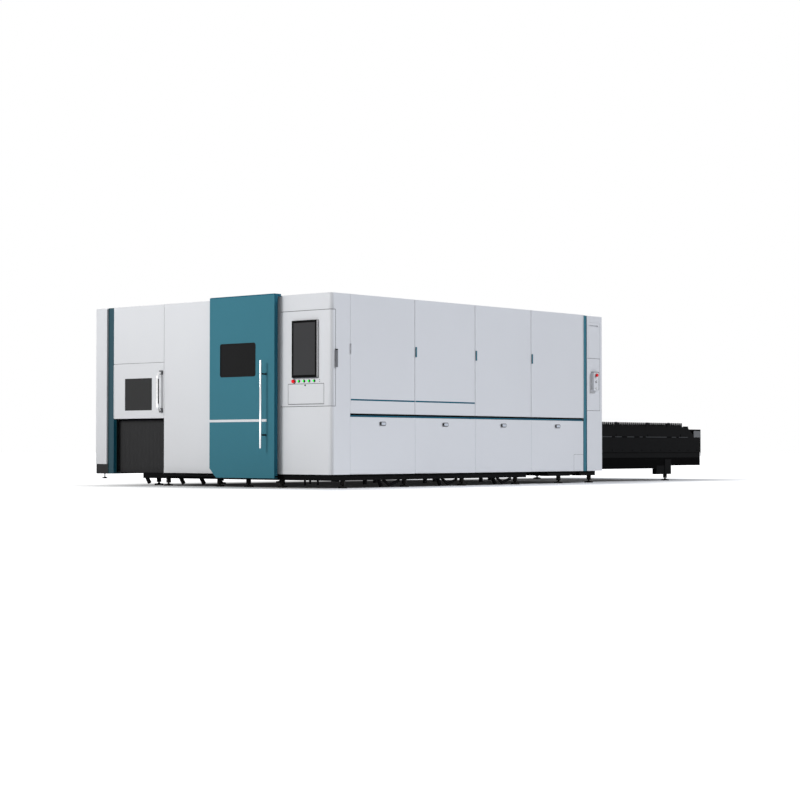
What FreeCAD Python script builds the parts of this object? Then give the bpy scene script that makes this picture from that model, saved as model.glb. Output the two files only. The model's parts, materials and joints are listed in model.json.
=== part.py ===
"""Enclosed fiber laser cutting machine with a two-level exchange table.

Places are measured from the right front corner of the enclosure at floor level:
x runs left as negative numbers, y runs back along the long side, z runs up.
The finished model has its origin on the floor, in the middle of the whole machine.
"""
import FreeCAD, Part
import math
import os
import re

import Sketcher
from FreeCAD import Placement, Rotation, Vector

# Driving dimensions in millimetres.
SIZES = {
    # enclosure
    "floor_gap": 150,
    "skin_height": 1985,
    "leaf": 22,
    "reveal": 4,
    "fit": 0.4,
    "corner_radius": 45,
    "column_width": 850,
    "column_return": 303,
    "doorway_width": 864,
    "doorway_margin": 60,
    "doorway_foot": 260,
    "doorway_head": 145,
    "tall_panel": 973,
    "left_bay": 900,
    "strip_width": 100,
    "strip_depth": 110,
    "strip_foot": 132,
    # hinges
    "pin_radius": 4.5,
    "seam_gap": 10,
    # long side
    "first_seam": 300,
    "bay": 1100,
    "side_strip_width": 74,
    "side_strip_bevel": 8,
    "belt_foot": 785,
    "belt_height": 35,
    "belt_lip": 15,
    "belt_sink": 10,
    "post_size": 60,
    "grip_foot": 1478,
    "grip_height": 114,
    "grip_width": 14,
    "grip_reach": 14,
    "latch_width": 110,
    "latch_height": 46,
    "latch_middle": 713,
    "latch_reach": 5,
    "pan_skin": 3,
    "pan_rim": 30,
    # sliding door
    "door_width": 1036,
    "door_rise": 20,
    "door_depth": 53,
    "door_stand": 53,
    "door_skin": 4,
    "door_cap": 12,
    "door_right": 764,
    "door_foot": 105,
    "door_chamfer": 105,
    "door_round": 18,
    "door_travel": 850,
    "window_width": 571,
    "window_height": 379,
    "window_inset": 172,
    "window_foot": 1242,
    "window_round": 16,
    "pane": 8,
    "bar_radius": 12,
    "bar_inset": 131,
    "bar_foot": 438,
    "bar_length": 977,
    "bar_reach": 84,
    "bar_post_low": 586,
    "bar_post_high": 1263,
    "bar_post_radius": 8,
    "guide_foot": 112,
    "guide_height": 20,
    "guide_reach": 36,
    "hook_height": 8,
    "hook_inset": 220,
    "roof_bar": 12,
    "roof_bar_place": 140,
    "roof_bar_height": 9,
    "window_frame": 30,
    # lower left door and the recess below it
    "hatch_foot": 793,
    "hatch_top": 1450,
    "hatch_window_width": 482,
    "hatch_window_height": 382,
    "hatch_window_inset": 193,
    "hatch_window_foot": 889,
    "bow_foot": 885,
    "bow_height": 445,
    "bow_reach": 75,
    "bow_radius": 13,
    "bow_bend": 42,
    "bow_inset": 38,
    "bow_mount": 17,
    "bow_mount_length": 24,
    "recess_front": 39,
    "recess_depth": 78,
    "recess_sheet": 4,
    "rib_pitch": 24,
    "rib_width": 5,
    "rib_reach": 3,
    # cabinet at the left end of the front
    "side_cabinet_gap": 30,
    "side_cabinet_width": 197,
    "side_cabinet_depth": 1200,
    "cabinet_sheet": 3,
    "plinth_foot": 131,
    "plinth_top": 248,
    # control door
    "control_width": 764,
    "control_foot": 900,
    "control_head": 185,
    "control_return": 65,
    "screen_width": 379,
    "screen_height": 628,
    "screen_depth": 30,
    "screen_right": 192,
    "screen_foot": 1216,
    "screen_bezel": 26,
    "screen_sink": 3,
    "tray_width": 535,
    "tray_height": 214,
    "tray_right": 114,
    "tray_foot": 929,
    "tray_leaf": 18,
    "stop_radius": 20,
    "stop_reach": 26,
    "stop_stem": 22,
    "stop_right": 560,
    "stop_travel": 8,
    "button_row": 1177,
    "button_radius": 11,
    "button_stem": 15,
    "button_reach": 9,
    "button_travel": 3,
    "button_pitch": 77,
    "button_right": 253,
    "pull_front": 59,
    "pull_back": 91,
    "pull_foot": 1322,
    "pull_height": 198,
    "pull_reach": 14,
    # end cabinet
    "end_depth": 160,
    "end_width": 331,
    "cover_drop": 89,
    "cover_height": 461,
    "opening_top": 900,
    "box_front": 98,
    "box_width": 112,
    "box_foot": 1173,
    "box_height": 241,
    "box_depth": 36,
    # base
    "tube": 65,
    "base_inset": 20,
    "base_left": 3072,
    "base_back": 3520,
    "bearer_left": 3650,
    "bearer_width": 120,
    "bearer_step": 8,
    "near_bearer_inset": 1142,
    "near_bearer_length": 469,
    "near_bearer_foot": 300,
    "bearer_plate": 29,
    "bearer_plate_length": 594,
    "far_bearer_inset": 471,
    "far_bearer_length": 343,
    "far_bearer_foot": 288,
    "first_foot": 242,
    "foot_pitch": 1033,
    "pad_radius": 54,
    "pad_height": 12,
    "stem_radius": 12,
    "nut_radius": 28,
    "nut_foot": 36,
    "raised_foot": 72,
    "raised_pad_radius": 32,
    "raised_pad_height": 8,
    "raised_stem_radius": 6,
    "raised_foot_inset": 60,
    "stub_radius": 24,
    "stub_length": 100,
    "brace": 22,
    # bed, gantry and head
    "bed_right": 250,
    "bed_beam": 220,
    "bed_span": 1760,
    "bed_front": 350,
    "bed_top": 860,
    "tray_side": 60,
    "tray_depth": 140,
    "tray_sheet": 4,
    "ledge": 60,
    "ledge_height": 15,
    "lower_level": 400,
    "level_step": 190,
    "rail_width": 30,
    "rail_height": 25,
    "gantry_place": 1300,
    "gantry_depth": 260,
    "gantry_height": 270,
    "linear_rail": 18,
    "linear_rail_height": 28,
    "truck_width": 150,
    "truck_reach": 90,
    "truck_height": 70,
    "carriage_width": 240,
    "carriage_depth": 110,
    "head_size": 90,
    "head_height": 520,
    "nozzle_tip": 905,
    # pallets and exchange frame
    "pallet_length": 3100,
    "pallet_width": 1740,
    "pallet_height": 110,
    "pallet_overlap": 410,
    "pallet_travel": 3600,
    "pallet_beam": 60,
    "slat_sink": 60,
    "slat_height": 127,
    "slat_sheet": 5,
    "slat_count": 30,
    "tooth_count": 6,
    "tooth_height": 34,
    "table_right": 220,
    "table_beam": 80,
    "table_margin": 31,
    "table_rail_foot": 386,
    "table_skirt_foot": 202,
    "table_cover_foot": 165,
    "table_leg_inset": 924,
    "table_leg_foot": 85,
    "table_leg_half": 177,
    "table_foot": 73,
    "leg_flange": 287,
    "table_set_back": 12,
    "guard_height": 151,
    "guard_step": 8,
    "guard_sheet": 12,
    "guard_cut": 24,
    "guard_block": 119,
    "post_height": 111,
    "post_cap": 21,
    "post_length": 321,
    "post_plate": 4,
    "plate_length": 177,
    "pallet_gap": 4,
    "pallet_bearer": 40,
    # equipment in the left bay
    "source_left": 3520,
    "source_width": 800,
    "source_front": 900,
    "source_depth": 850,
    "source_top": 1500,
    "fan_size": 280,
    "drive_left": 3560,
    "drive_width": 840,
    "drive_front": 2100,
    "drive_depth": 1400,
    "drive_head": 185,
}

# Sizes and places that follow from the driving dimensions.
RELATIONS = {
    "corner_x": "(side_cabinet_left - box_depth - stop_travel - 14) / 2",
    "corner_y": "(door_stand + door_depth + bar_reach + bar_radius - table_end) / 2",
    "skin_top": "floor_gap + skin_height",
    "wall_left": "column_width + doorway_width + tall_panel",
    "strip_right": "wall_left + left_bay",
    "front_width": "strip_right + strip_width",
    "roof_foot": "skin_top - leaf - 1",
    "pan_top": "floor_gap + 8",
    "belt_top": "belt_foot + belt_height",
    "last_seam": "first_seam + 4 * bay",
    "strip_back": "last_seam + seam_gap / 2 + side_strip_width",
    "machine_length": "strip_back + end_width",
    "near_bearer": "machine_length - near_bearer_inset",
    "far_bearer": "machine_length - far_bearer_inset",
    "pallet_front": "machine_length - pallet_overlap",
    "table_end": "pallet_front + pallet_length + table_margin",
    "table_leg": "table_end - table_leg_inset",
    "door_face": "-door_stand - door_depth",
    "door_left": "door_right + door_width",
    "door_top": "skin_top + door_rise",
    "door_height": "door_top - door_foot",
    "doorway_top": "skin_top - doorway_head",
    "bar_back": "roof_bar_place + roof_bar",
    "hook_left": "-door_left + 40",
    "hook_right": "-door_right - hook_inset",
    "control_top": "skin_top - control_head",
    "control_height": "control_top - control_foot",
    "cover_top": "skin_top - cover_drop",
    "cover_foot": "cover_top - cover_height",
    "drive_top": "skin_top - drive_head",
    "hinge_gap": "seam_gap / 2",
    "bed_left": "bed_right + 2 * bed_beam + bed_span",
    "bed_middle": "bed_right + bed_beam + bed_span / 2",
    "bed_back": "machine_length - leaf - 8",
    "upper_level": "lower_level + level_step",
    "rail_top": "bed_top + rail_height",
    "pallet_right": "bed_middle - pallet_width / 2",
    "pallet_left": "bed_middle + pallet_width / 2",
    "table_left": "2 * bed_middle - table_right",
    "side_cabinet_right": "front_width + side_cabinet_gap",
    "side_cabinet_left": "side_cabinet_right + side_cabinet_width",
    "base_foot": "floor_gap - tube",
    "gantry_foot": "rail_top + fit",
    "beam_foot": "gantry_foot + truck_height",
    "recess_top": "hatch_foot - reveal - 2",
    "exchange_middle": "strip_back + box_front + box_width / 2",
    "exchange_height": "box_foot + box_height - 42",
    "beam_middle": "bed_right + bed_beam / 2",
    "beam_back": "gantry_place + gantry_depth",
    "saddle_back": "gantry_place - linear_rail - fit",
    "guard_end": "table_end - plate_length",
    "tray_right_side": "bed_right + bed_beam + tray_side",
    "tray_left_side": "bed_left - bed_beam - tray_side",
}

DOC = FreeCAD.newDocument("laser_cutting_machine")


def make_sheet():
    """Put every driving dimension in a cell under its own name."""
    sheet = DOC.addObject("Spreadsheet::Sheet", "Sizes")
    for row, (name, value) in enumerate(SIZES.items(), start=1):
        sheet.set(f"A{row}", name)
        sheet.set(f"B{row}", str(value))
        sheet.setAlias(f"B{row}", name)
    DOC.recompute()
    return sheet


def bound(formula):
    """Turn the names in a formula into references to the sheet."""
    def swap(match):
        word = match.group()
        if word in RELATIONS:
            return "(" + bound(RELATIONS[word]) + ")"
        return "Sizes." + word if word in SIZES else word
    return re.sub(r"[a-z][a-z_0-9]*", swap, str(formula))


SHEET = make_sheet()
PROBE = DOC.addObject("App::FeaturePython", "Probe")
PROBE.addProperty("App::PropertyFloat", "Value")


def number(formula):
    """Work out a formula of named sizes."""
    PROBE.setExpression("Value", bound(formula))
    PROBE.recompute()
    return PROBE.Value


def bind(item, **formulas):
    """Tie an item's properties to formulas of named sizes."""
    for name, formula in formulas.items():
        item.setExpression(name, bound(formula))
    return item


def place(item, x, y, z):
    """Put an item at a point measured from the enclosure's corner."""
    item.setExpression("Placement.Base.x", bound(f"corner_x + ({x})"))
    item.setExpression("Placement.Base.y", bound(f"corner_y + ({y})"))
    item.setExpression("Placement.Base.z", bound(z))
    return item


def block(xs, ys, zs, label="block"):
    """Make a box between two planes on each axis."""
    item = DOC.addObject("Part::Box", label)
    item.Label = label
    bind(
        item,
        Length=f"({xs[1]}) - ({xs[0]})",
        Width=f"({ys[1]}) - ({ys[0]})",
        Height=f"({zs[1]}) - ({zs[0]})",
    )
    return place(item, xs[0], ys[0], zs[0])


TURNS = {
    "x": Rotation(Vector(0, 0, 1), Vector(1, 0, 0)),
    "y": Rotation(Vector(0, 0, 1), Vector(0, 1, 0)),
    "z": Rotation(),
}


def rod(axis, radius, length, x, y, z, label="rod"):
    """Make a cylinder that starts at a point and runs along one axis."""
    item = DOC.addObject("Part::Cylinder", label)
    item.Label = label
    item.Placement = Placement(Vector(), TURNS[axis])
    bind(item, Radius=radius, Height=length)
    return place(item, x, y, z)


def join(label, *items):
    """Fuse pieces that touch, or keep pieces apart in one group."""
    item = DOC.addObject("Part::MultiFuse", label)
    item.Label = label
    item.Shapes = list(items)
    item.Refine = True
    return item


def carve(label, base, *tools):
    """Cut tools out of a base."""
    item = DOC.addObject("Part::Cut", label)
    item.Label = label
    item.Base = base
    item.Tool = tools[0] if len(tools) == 1 else join(f"{label}_tools", *tools)
    item.Refine = True
    return item


def new_body(label, x, y, z):
    """Start a body whose own origin lies at a point of the machine."""
    item = DOC.addObject("PartDesign::Body", label)
    item.Label = label
    return place(item, x, y, z)


def outline(item, role, points):
    """Draw a closed outline in a body's origin plane, tied to formulas."""
    drawing = item.newObject("Sketcher::SketchObject", "outline")
    base = next(part for part in item.Origin.OriginFeatures if part.Role == role)
    drawing.AttachmentSupport = [(base, "")]
    drawing.MapMode = "FlatFace"
    spots = [Vector(number(across), number(along), 0) for across, along in points]
    count = len(spots)
    for index in range(count):
        drawing.addGeometry(Part.LineSegment(spots[index], spots[(index + 1) % count]))
    for index in range(count):
        drawing.addConstraint(Sketcher.Constraint("Coincident", index, 2, (index + 1) % count, 1))
    for index, pair in enumerate(points):
        for kind, axis, formula in (("DistanceX", -2, pair[0]), ("DistanceY", -1, pair[1])):
            if str(formula) == "0":
                drawing.addConstraint(Sketcher.Constraint("PointOnObject", index, 1, axis))
                continue
            rule = Sketcher.Constraint(kind, -1, 1, index, 1, number(formula))
            spot = drawing.addConstraint(rule)
            drawing.setExpression(f"Constraints[{spot}]", bound(formula))
    return drawing


def oblong(xs, ys):
    """List the corners of a rectangle."""
    return [(xs[0], ys[0]), (xs[1], ys[0]), (xs[1], ys[1]), (xs[0], ys[1])]


def pad(item, drawing, length, back=False):
    """Raise a drawing into a solid; back turns the direction round."""
    feature = item.newObject("PartDesign::Pad", "pad")
    feature.Profile = drawing
    feature.Reversed = back
    bind(feature, Length=length)
    drawing.Visibility = False
    DOC.recompute()
    return feature


def pocket(item, drawing, length):
    """Cut a drawing into the body, or right through when length is None."""
    before = item.Shape.Volume
    feature = item.newObject("PartDesign::Pocket", "pocket")
    feature.Profile = drawing
    if length is None:
        feature.Type = 1
    else:
        bind(feature, Length=length)
    DOC.recompute()
    if item.Shape.Volume > before - 1:
        raise RuntimeError(f"{item.Label}: a pocket cut nothing")
    return feature


def round_edges(item, feature, radius, test):
    """Round the edges of a feature whose middle passes a test."""
    names = [
        f"Edge{index}"
        for index, edge in enumerate(feature.Shape.Edges, start=1)
        if test(edge.CenterOfMass, edge)
    ]
    rounding = item.newObject("PartDesign::Fillet", "round")
    rounding.Base = (feature, names)
    bind(rounding, Radius=radius)
    DOC.recompute()
    return rounding


def upright(edge, least):
    """Say whether an edge is vertical and longer than a given length."""
    box = edge.BoundBox
    return box.ZLength > least and box.XLength < 0.01 and box.YLength < 0.01


def along_depth(edge):
    """Say whether an edge runs front to back."""
    box = edge.BoundBox
    return box.YLength > 1 and box.XLength < 0.01 and box.ZLength < 0.01


# ---------------------------------------------------------------- base and feet

def prism(sides, radius, length, x, y, z, turn=Rotation()):
    """Make a bar with a regular section, upright unless turned."""
    item = DOC.addObject("Part::Prism", "prism")
    item.Polygon = sides
    item.Placement = Placement(Vector(), turn)
    bind(item, Circumradius=radius, Height=length)
    return place(item, x, y, z)


# Places of what hangs below the base frame: feet and stubs along the front, and
# the distance in front of a side foot together with the height of the lower end.
FRONT_FEET = ("-2660", "-1797", "-1324", "-787")
FRONT_LEANING_STUBS = ("-2995", "-2402", "-2055")
FRONT_STUBS = (("-444", "29"), ("-365", "47"), ("-248", "37"))
SIDE_STUBS = (("670", "38"), ("500", "53"))
BRACE = (
    ("-390", "base_foot + 5"), ("-262", "10"), ("-92", "62"), ("-92", "base_foot + 5"),
    ("-92 - brace", "base_foot + 5"), ("-92 - brace", "62 + brace"), ("-256", "38"),
    ("-390 + 2 * brace", "base_foot + 5"),
)


def side_feet():
    """List the places of the feet along the long sides."""
    return [f"first_foot + {index} * foot_pitch" for index in range(4)]


def foot_stubs(y):
    """Stubs and the folded brace that stand in front of one foot of the long side."""
    middle = "-base_inset - tube / 2"
    pieces = [
        prism(10, "stub_radius", f"base_foot + 5 - {low}", middle, f"{y} - {before}", low)
        for before, low in SIDE_STUBS
    ]
    lean = Rotation(Vector(1, 0, 0), 30)
    pieces.append(prism(10, "stub_radius", "stub_length", middle, f"{y} - 400", "16", lean))
    brace = new_body("brace", "-base_inset - tube / 2 - brace / 2", y, "0")
    pad(brace, outline(brace, "YZ_Plane", BRACE), "brace")
    return pieces + [brace]


def bearer(front, length, foot_place):
    """Pair of short bearers below the back of the enclosure, with the tube between them."""
    low, high = "base_foot + bearer_step", "floor_gap"
    ys = (front, f"{front} + {length}")
    middle = f"{front} + {foot_place}"
    return [
        block(("-base_inset - bearer_width", "-base_inset"), ys, (low, high)),
        block(("-bearer_left", "-bearer_left + bearer_width"), ys, (low, high)),
        block(("-bearer_left", "-base_inset"), (f"{middle} - tube / 2", f"{middle} + tube / 2"),
              (low, high)),
    ]


def base_frame():
    """Square-tube frame below the enclosure, with two bearer pairs at the back."""
    low, high = "base_foot", "floor_gap"
    sides, depth = ("-base_left", "-base_inset"), ("base_inset", "base_back")
    rails = [
        block(("-base_inset - tube", "-base_inset"), depth, (low, high)),
        block(("-base_left", "-base_left + tube"), depth, (low, high)),
    ]
    for index in range(6):
        start = f"base_inset + (base_back - tube - base_inset) * {index} / 5"
        rails.append(block(sides, (start, f"{start} + tube"), (low, high)))
    rails += bearer("near_bearer", "near_bearer_length", "near_bearer_foot")
    rails += bearer("far_bearer", "far_bearer_length", "far_bearer_foot")
    plate = ("near_bearer", "near_bearer + bearer_plate_length")
    for xs in (
        ("-base_inset - bearer_width", "-base_inset"), ("-bearer_left", "-bearer_left + bearer_width")
    ):
        rails.append(block(xs, plate, ("floor_gap - bearer_plate", high)))
    y = "base_inset + tube / 2"
    lean = Rotation(Vector(0, 1, 0), -36)
    for x in FRONT_LEANING_STUBS:
        rails.append(prism(10, "stub_radius", "stub_length", x, y, "30", lean))
    for x, bottom in FRONT_STUBS:
        rails.append(prism(10, "stub_radius / 2", f"base_foot + 5 - {bottom}", x, y, bottom))
    for place_y in side_feet()[1:]:
        rails += foot_stubs(place_y)
    return join("base_frame", *rails)


def foot(x, y, top):
    """One levelling foot: round pad, threaded stem and the long nut above it."""
    return [
        prism(12, "pad_radius", "pad_height", x, y, "0"),
        prism(8, "stem_radius", "nut_foot - pad_height", x, y, "pad_height"),
        prism(6, "nut_radius", f"{top} - nut_foot", x, y, "nut_foot"),
    ]


def levelling_feet():
    """All levelling feet, alike apart from the height of what they carry."""
    pieces = []
    for y in side_feet():
        pieces += foot("-base_inset - tube / 2", y, "base_foot")
        pieces += foot("-base_left + tube / 2", y, "base_foot")
    for y in ("near_bearer + near_bearer_foot", "far_bearer + far_bearer_foot"):
        pieces += foot("-base_inset - bearer_width / 2", y, "base_foot + bearer_step")
        pieces += foot("-bearer_left + bearer_width / 2", y, "base_foot + bearer_step")
    for x in FRONT_FEET:
        pieces += foot(x, "base_inset + tube / 2", "base_foot")
    for x in ("-table_right - table_beam / 2", "-table_left + table_beam / 2"):
        pieces += foot(x, "table_leg + table_foot", "table_leg_foot")
    x, low = "-side_cabinet_right - side_cabinet_width / 2", "raised_foot + raised_pad_height"
    for y in ("raised_foot_inset", "side_cabinet_depth - raised_foot_inset"):
        pieces.append(prism(12, "raised_pad_radius", "raised_pad_height", x, y, "raised_foot"))
        pieces.append(prism(8, "raised_stem_radius", f"plinth_foot - ({low})", x, y, low))
    return join("levelling_feet", *pieces)


def floor_pan():
    """Steel sheet that closes the enclosure below, cut round its two corner pieces."""
    xs = ("-front_width + leaf + fit", "-leaf - fit")
    ys = ("recess_depth + recess_sheet + fit", "bed_back + 5")
    sheet = block(xs, ys, ("floor_gap", "pan_top"))
    return carve("floor_pan", sheet, *corner_rooms("floor_gap - 1", "pan_top + 1"))


def corner_rooms(low, high):
    """Space round the left strip and the end cabinet, for the sheets that meet them."""
    strip = block(
        ("-front_width", "-strip_right + fit"), ("0", "strip_depth + fit"), (low, high)
    )
    cabinet = block(("-end_depth - fit", "0"), ("strip_back", "machine_length"), (low, high))
    return [strip, cabinet]


# ---------------------------------------------------------------- enclosure

def corner_column():
    """Folded corner of the enclosure, cut away for the control door."""
    item = new_body("corner_column", "-column_width", "0", "floor_gap")
    corner = [
        ("0", "0"), ("column_width", "0"), ("column_width", "column_return"),
        ("column_width - leaf", "column_return"), ("column_width - leaf", "leaf"), ("0", "leaf"),
    ]
    wall = pad(item, outline(item, "XY_Plane", corner), "skin_height")
    side = number("column_width")
    round_edges(
        item, wall, "corner_radius",
        lambda middle, edge: upright(edge, 100) and middle.y < 0.01 and abs(middle.x - side) < 0.01,
    )
    left = "column_width - control_width - hinge_gap"
    low = "control_foot - floor_gap - hinge_gap"
    cut = oblong((left, "column_width + 10"), (low, f"{low} + control_height + seam_gap"))
    pocket(item, outline(item, "XZ_Plane", cut), "control_return + hinge_gap")
    return item


def front_wall():
    """Folded sheet with the tall panel and the doorway behind the sliding door."""
    item = new_body("front_wall", "-wall_left", "0", "floor_gap")
    sheet = oblong(("0", "wall_left - column_width - fit"), ("0", "skin_height"))
    pad(item, outline(item, "XZ_Plane", sheet), "leaf", back=True)
    doorway = oblong(
        ("tall_panel", "tall_panel + doorway_width - doorway_margin"),
        ("doorway_foot - floor_gap", "doorway_top - floor_gap"),
    )
    pocket(item, outline(item, "XZ_Plane", doorway), None)
    return item


def left_upper_panel():
    """Plain panel above the lower left door."""
    xs = ("-strip_right + fit", "-wall_left - reveal")
    return block(xs, ("0", "leaf"), ("hatch_top + reveal", "skin_top"), "left_upper_panel")


def recess_panel():
    """Dark ribbed pan set back below the lower left door."""
    right, left = "-wall_left - reveal", "-strip_right + fit"
    ys = ("recess_front", "recess_depth + recess_sheet")
    pan = carve(
        "recess_pan",
        block((left, right), ys, ("floor_gap", "recess_top")),
        block(
            (f"{left} + recess_sheet", f"{right} - recess_sheet"),
            ("recess_front - 1", "recess_depth"),
            ("floor_gap + recess_sheet", "recess_top - recess_sheet"),
        ),
    )
    pitch, start = number("rib_pitch"), number(f"{left} + recess_sheet")
    count = int((number(f"{right} - recess_sheet") - start) / pitch)
    ribs = [
        block(
            (f"{left} + recess_sheet + {index} * rib_pitch",
             f"{left} + recess_sheet + {index} * rib_pitch + rib_width"),
            ("recess_depth - rib_reach", "recess_depth"),
            ("floor_gap + recess_sheet", "recess_top - recess_sheet"),
        )
        for index in range(1, count)
    ]
    return join("recess_panel", pan, *ribs)


def left_strip():
    """Coloured upright post at the left end of the front."""
    xs = ("-front_width", "-strip_right")
    return block(xs, ("0", "strip_depth"), ("strip_foot", "skin_top"), "left_strip")


def left_wall():
    """Far long side, with shallow grooves between its panels."""
    wall = block(
        ("-front_width", "-front_width + leaf"),
        ("strip_depth + fit", "machine_length"),
        ("floor_gap", "skin_top"),
    )
    grooves = [
        block(
            ("-front_width - 1", "-front_width + 3"),
            (f"first_seam + {index} * bay - 3", f"first_seam + {index} * bay + 3"),
            ("floor_gap - 1", "skin_top + 1"),
        )
        for index in range(5)
    ]
    return carve("left_wall", wall, *grooves)


def roof():
    """Roof sheet that lies between the walls, with folded cross ribs."""
    xs = ("-front_width + leaf + fit", "-leaf - fit")
    sheet = block(xs, ("leaf + fit", "bed_back + 5"), ("roof_foot", "skin_top - 1"))
    sheet = carve("roof_sheet", sheet, *corner_rooms("roof_foot - 1", "skin_top + 1"))
    ribs = [
        block(
            ("-front_width + 200", "-200"),
            (f"first_seam + {index} * bay - 20", f"first_seam + {index} * bay + 20"),
            ("skin_top - 1", "skin_top + 4"),
        )
        for index in range(5)
    ]
    return join("roof", sheet, *ribs)


def rear_header():
    """Back wall above the opening for the pallets."""
    xs = ("-table_left - 20", "-end_depth - fit")
    ys = ("machine_length - leaf", "machine_length")
    return block(xs, ys, ("opening_top", "skin_top"), "rear_header")


def rear_left_panel():
    """Back wall beside the opening for the pallets."""
    xs = ("-front_width + leaf + fit", "-table_left - 20 - fit")
    ys = ("machine_length - leaf", "machine_length")
    return block(xs, ys, ("floor_gap", "skin_top"), "rear_left_panel")


def side_strip():
    """Two-tone coloured strip between the side doors and the end cabinet."""
    item = new_body("side_strip", "-leaf", "last_seam + hinge_gap", "floor_gap")
    section = [
        ("0", "0"), ("leaf", "0"), ("leaf", "side_strip_width / 2"),
        ("leaf - side_strip_bevel", "side_strip_width"), ("0", "side_strip_width"),
    ]
    pad(item, outline(item, "XY_Plane", section), "skin_height - 6")
    return item


def end_cabinet():
    """Closed cabinet at the back corner, with its cover, slot and lower seam."""
    front, back = "strip_back + fit", "machine_length"
    shell = block(("-end_depth", "0"), (front, back), ("floor_gap", "skin_top - 6"))
    cover_front, cover_back = f"{front} + 24", "machine_length - 46"
    cover_low, cover_high = "cover_foot", "cover_top"
    depth = ("-3", "1")
    line = "4"
    grooves = [
        block(depth, (cover_front, cover_back), (cover_low, f"{cover_low} + {line}")),
        block(depth, (cover_front, cover_back), (f"{cover_high} - {line}", cover_high)),
        block(depth, (cover_front, f"{cover_front} + {line}"), (cover_low, cover_high)),
        block(depth, (f"{cover_back} - {line}", cover_back), (cover_low, cover_high)),
        block(("-12", "1"), (f"{cover_front} + 30", f"{cover_back} - 42"),
              (f"{cover_high} - 50", f"{cover_high} - 34")),
        block(depth, (f"{front} - 1", f"{back} + 1"), ("belt_top + 98", "belt_top + 102")),
    ]
    return carve("end_cabinet", shell, *grooves)


def square_bar(axis, half, start, end, across, height):
    """Make a square bar along x or y, given its middle line."""
    span = (f"{across} - {half}", f"{across} + {half}")
    zs = (f"{height} - {half}", f"{height} + {half}")
    if axis == "x":
        return block((start, end), span, zs)
    return block(span, (start, end), zs)


def exchange_box():
    """Small operating box for the exchange table, bored for its stop button."""
    front = "strip_back + box_front"
    case = block(
        ("0", "box_depth"), (front, f"{front} + box_width"),
        ("box_foot", "box_foot + box_height"),
    )
    bore = square_bar("x", "(stop_stem / 2 + fit)", "box_depth / 2", "box_depth + 1",
                      "exchange_middle", "exchange_height")
    key = prism(12, "11", "9", "box_depth", "exchange_middle", "box_foot + box_height / 2 - 5",
                TURNS["x"])
    lamp = prism(12, "9", "6", "box_depth", "exchange_middle", "box_foot + 36", TURNS["x"])
    return join("exchange_box", carve("exchange_case", case, bore), key, lamp)


def exchange_stop():
    """Mushroom stop button of the exchange box."""
    cap_start = "box_depth + stop_travel + 2"
    stem = square_bar("x", "stop_stem / 2", "box_depth - 8", cap_start,
                      "exchange_middle", "exchange_height")
    cap = prism(16, "stop_radius", "12", cap_start, "exchange_middle", "exchange_height", TURNS["x"])
    return join("exchange_stop", stem, cap)


def side_belt():
    """Dark groove rail between the side doors and the flaps, with its lower lip."""
    ys = ("column_return + fit", "last_seam + hinge_gap - fit")
    groove = block(("-leaf", "-belt_sink"), ys, ("belt_foot + 1", "belt_top"))
    lip = block(("-leaf", "-2"), ys, ("belt_foot + 1", "belt_foot + belt_lip"))
    return join("side_belt", groove, lip)


def side_frame():
    """Welded frame of square tube that carries the side doors and flaps."""
    xs = ("-leaf - fit - post_size", "-leaf - fit")
    ys = ("first_seam - post_size / 2", "last_seam + post_size / 2")
    top = ("roof_foot - fit - post_size", "roof_foot - fit")
    tubes = [
        block(xs, ys, top),
        block(xs, ys, ("belt_foot - 12", "belt_foot - 12 + post_size")),
    ]
    for index in range(5):
        middle = f"first_seam + {index} * bay"
        tubes.append(
            block(xs, (f"{middle} - post_size / 2", f"{middle} + post_size / 2"), ("pan_top", top[1]))
        )
    return join("side_frame", *tubes)


def hinge_pins():
    """Long hinge pins of the side doors, the flaps and the two front doors."""
    pins = []
    for index in range(4):
        seam = f"first_seam + {index + 1} * bay"
        height = "skin_top - belt_top - hinge_gap"
        pins.append(rod("z", "pin_radius", height, "0", seam, "belt_top + hinge_gap / 2"))
        length = "bay - 2 * seam_gap"
        start = f"first_seam + {index} * bay + seam_gap"
        pins.append(rod("y", "pin_radius", length, "0", start, "floor_gap + hinge_gap"))
    height = "hatch_top - hatch_foot - seam_gap"
    x, low = "-strip_right + hinge_gap", "hatch_foot + hinge_gap"
    pins.append(rod("z", "pin_radius", height, x, "0", low))
    height, low = "control_height - seam_gap", "control_foot + hinge_gap"
    pins.append(rod("z", "pin_radius", height, "-control_width", "0", low))
    return join("hinge_pins", *pins)


def side_cabinet():
    """Narrow service cabinet at the left end, folded from sheet and open below."""
    xs = ("-side_cabinet_left", "-side_cabinet_right")
    ys, zs = ("0", "side_cabinet_depth"), ("plinth_top", "skin_top")
    room = block(
        (f"{xs[0]} + cabinet_sheet", f"{xs[1]} - cabinet_sheet"),
        ("cabinet_sheet", "side_cabinet_depth - cabinet_sheet"),
        ("plinth_top - 1", "skin_top - cabinet_sheet"),
    )
    return carve("side_cabinet", block(xs, ys, zs), room)


def side_cabinet_base():
    """Dark plinth below the service cabinet and the filler beside it."""
    plinth = block(
        ("-side_cabinet_left + 4", "-front_width - fit"),
        ("4", "side_cabinet_depth - 4"), ("plinth_foot", "plinth_top"),
    )
    filler = block(
        ("-side_cabinet_right", "-front_width - fit"),
        ("14", "side_cabinet_depth - 14"), ("plinth_top", "skin_top - 8"),
    )
    room = block(
        ("-side_cabinet_left + 12", "-side_cabinet_right - 4"),
        ("12", "side_cabinet_depth - 12"), ("plinth_foot + 8", "plinth_top + 1"),
    )
    return carve("side_cabinet_base", join("plinth", plinth, filler), room)


# ---------------------------------------------------------------- sliding door

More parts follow.
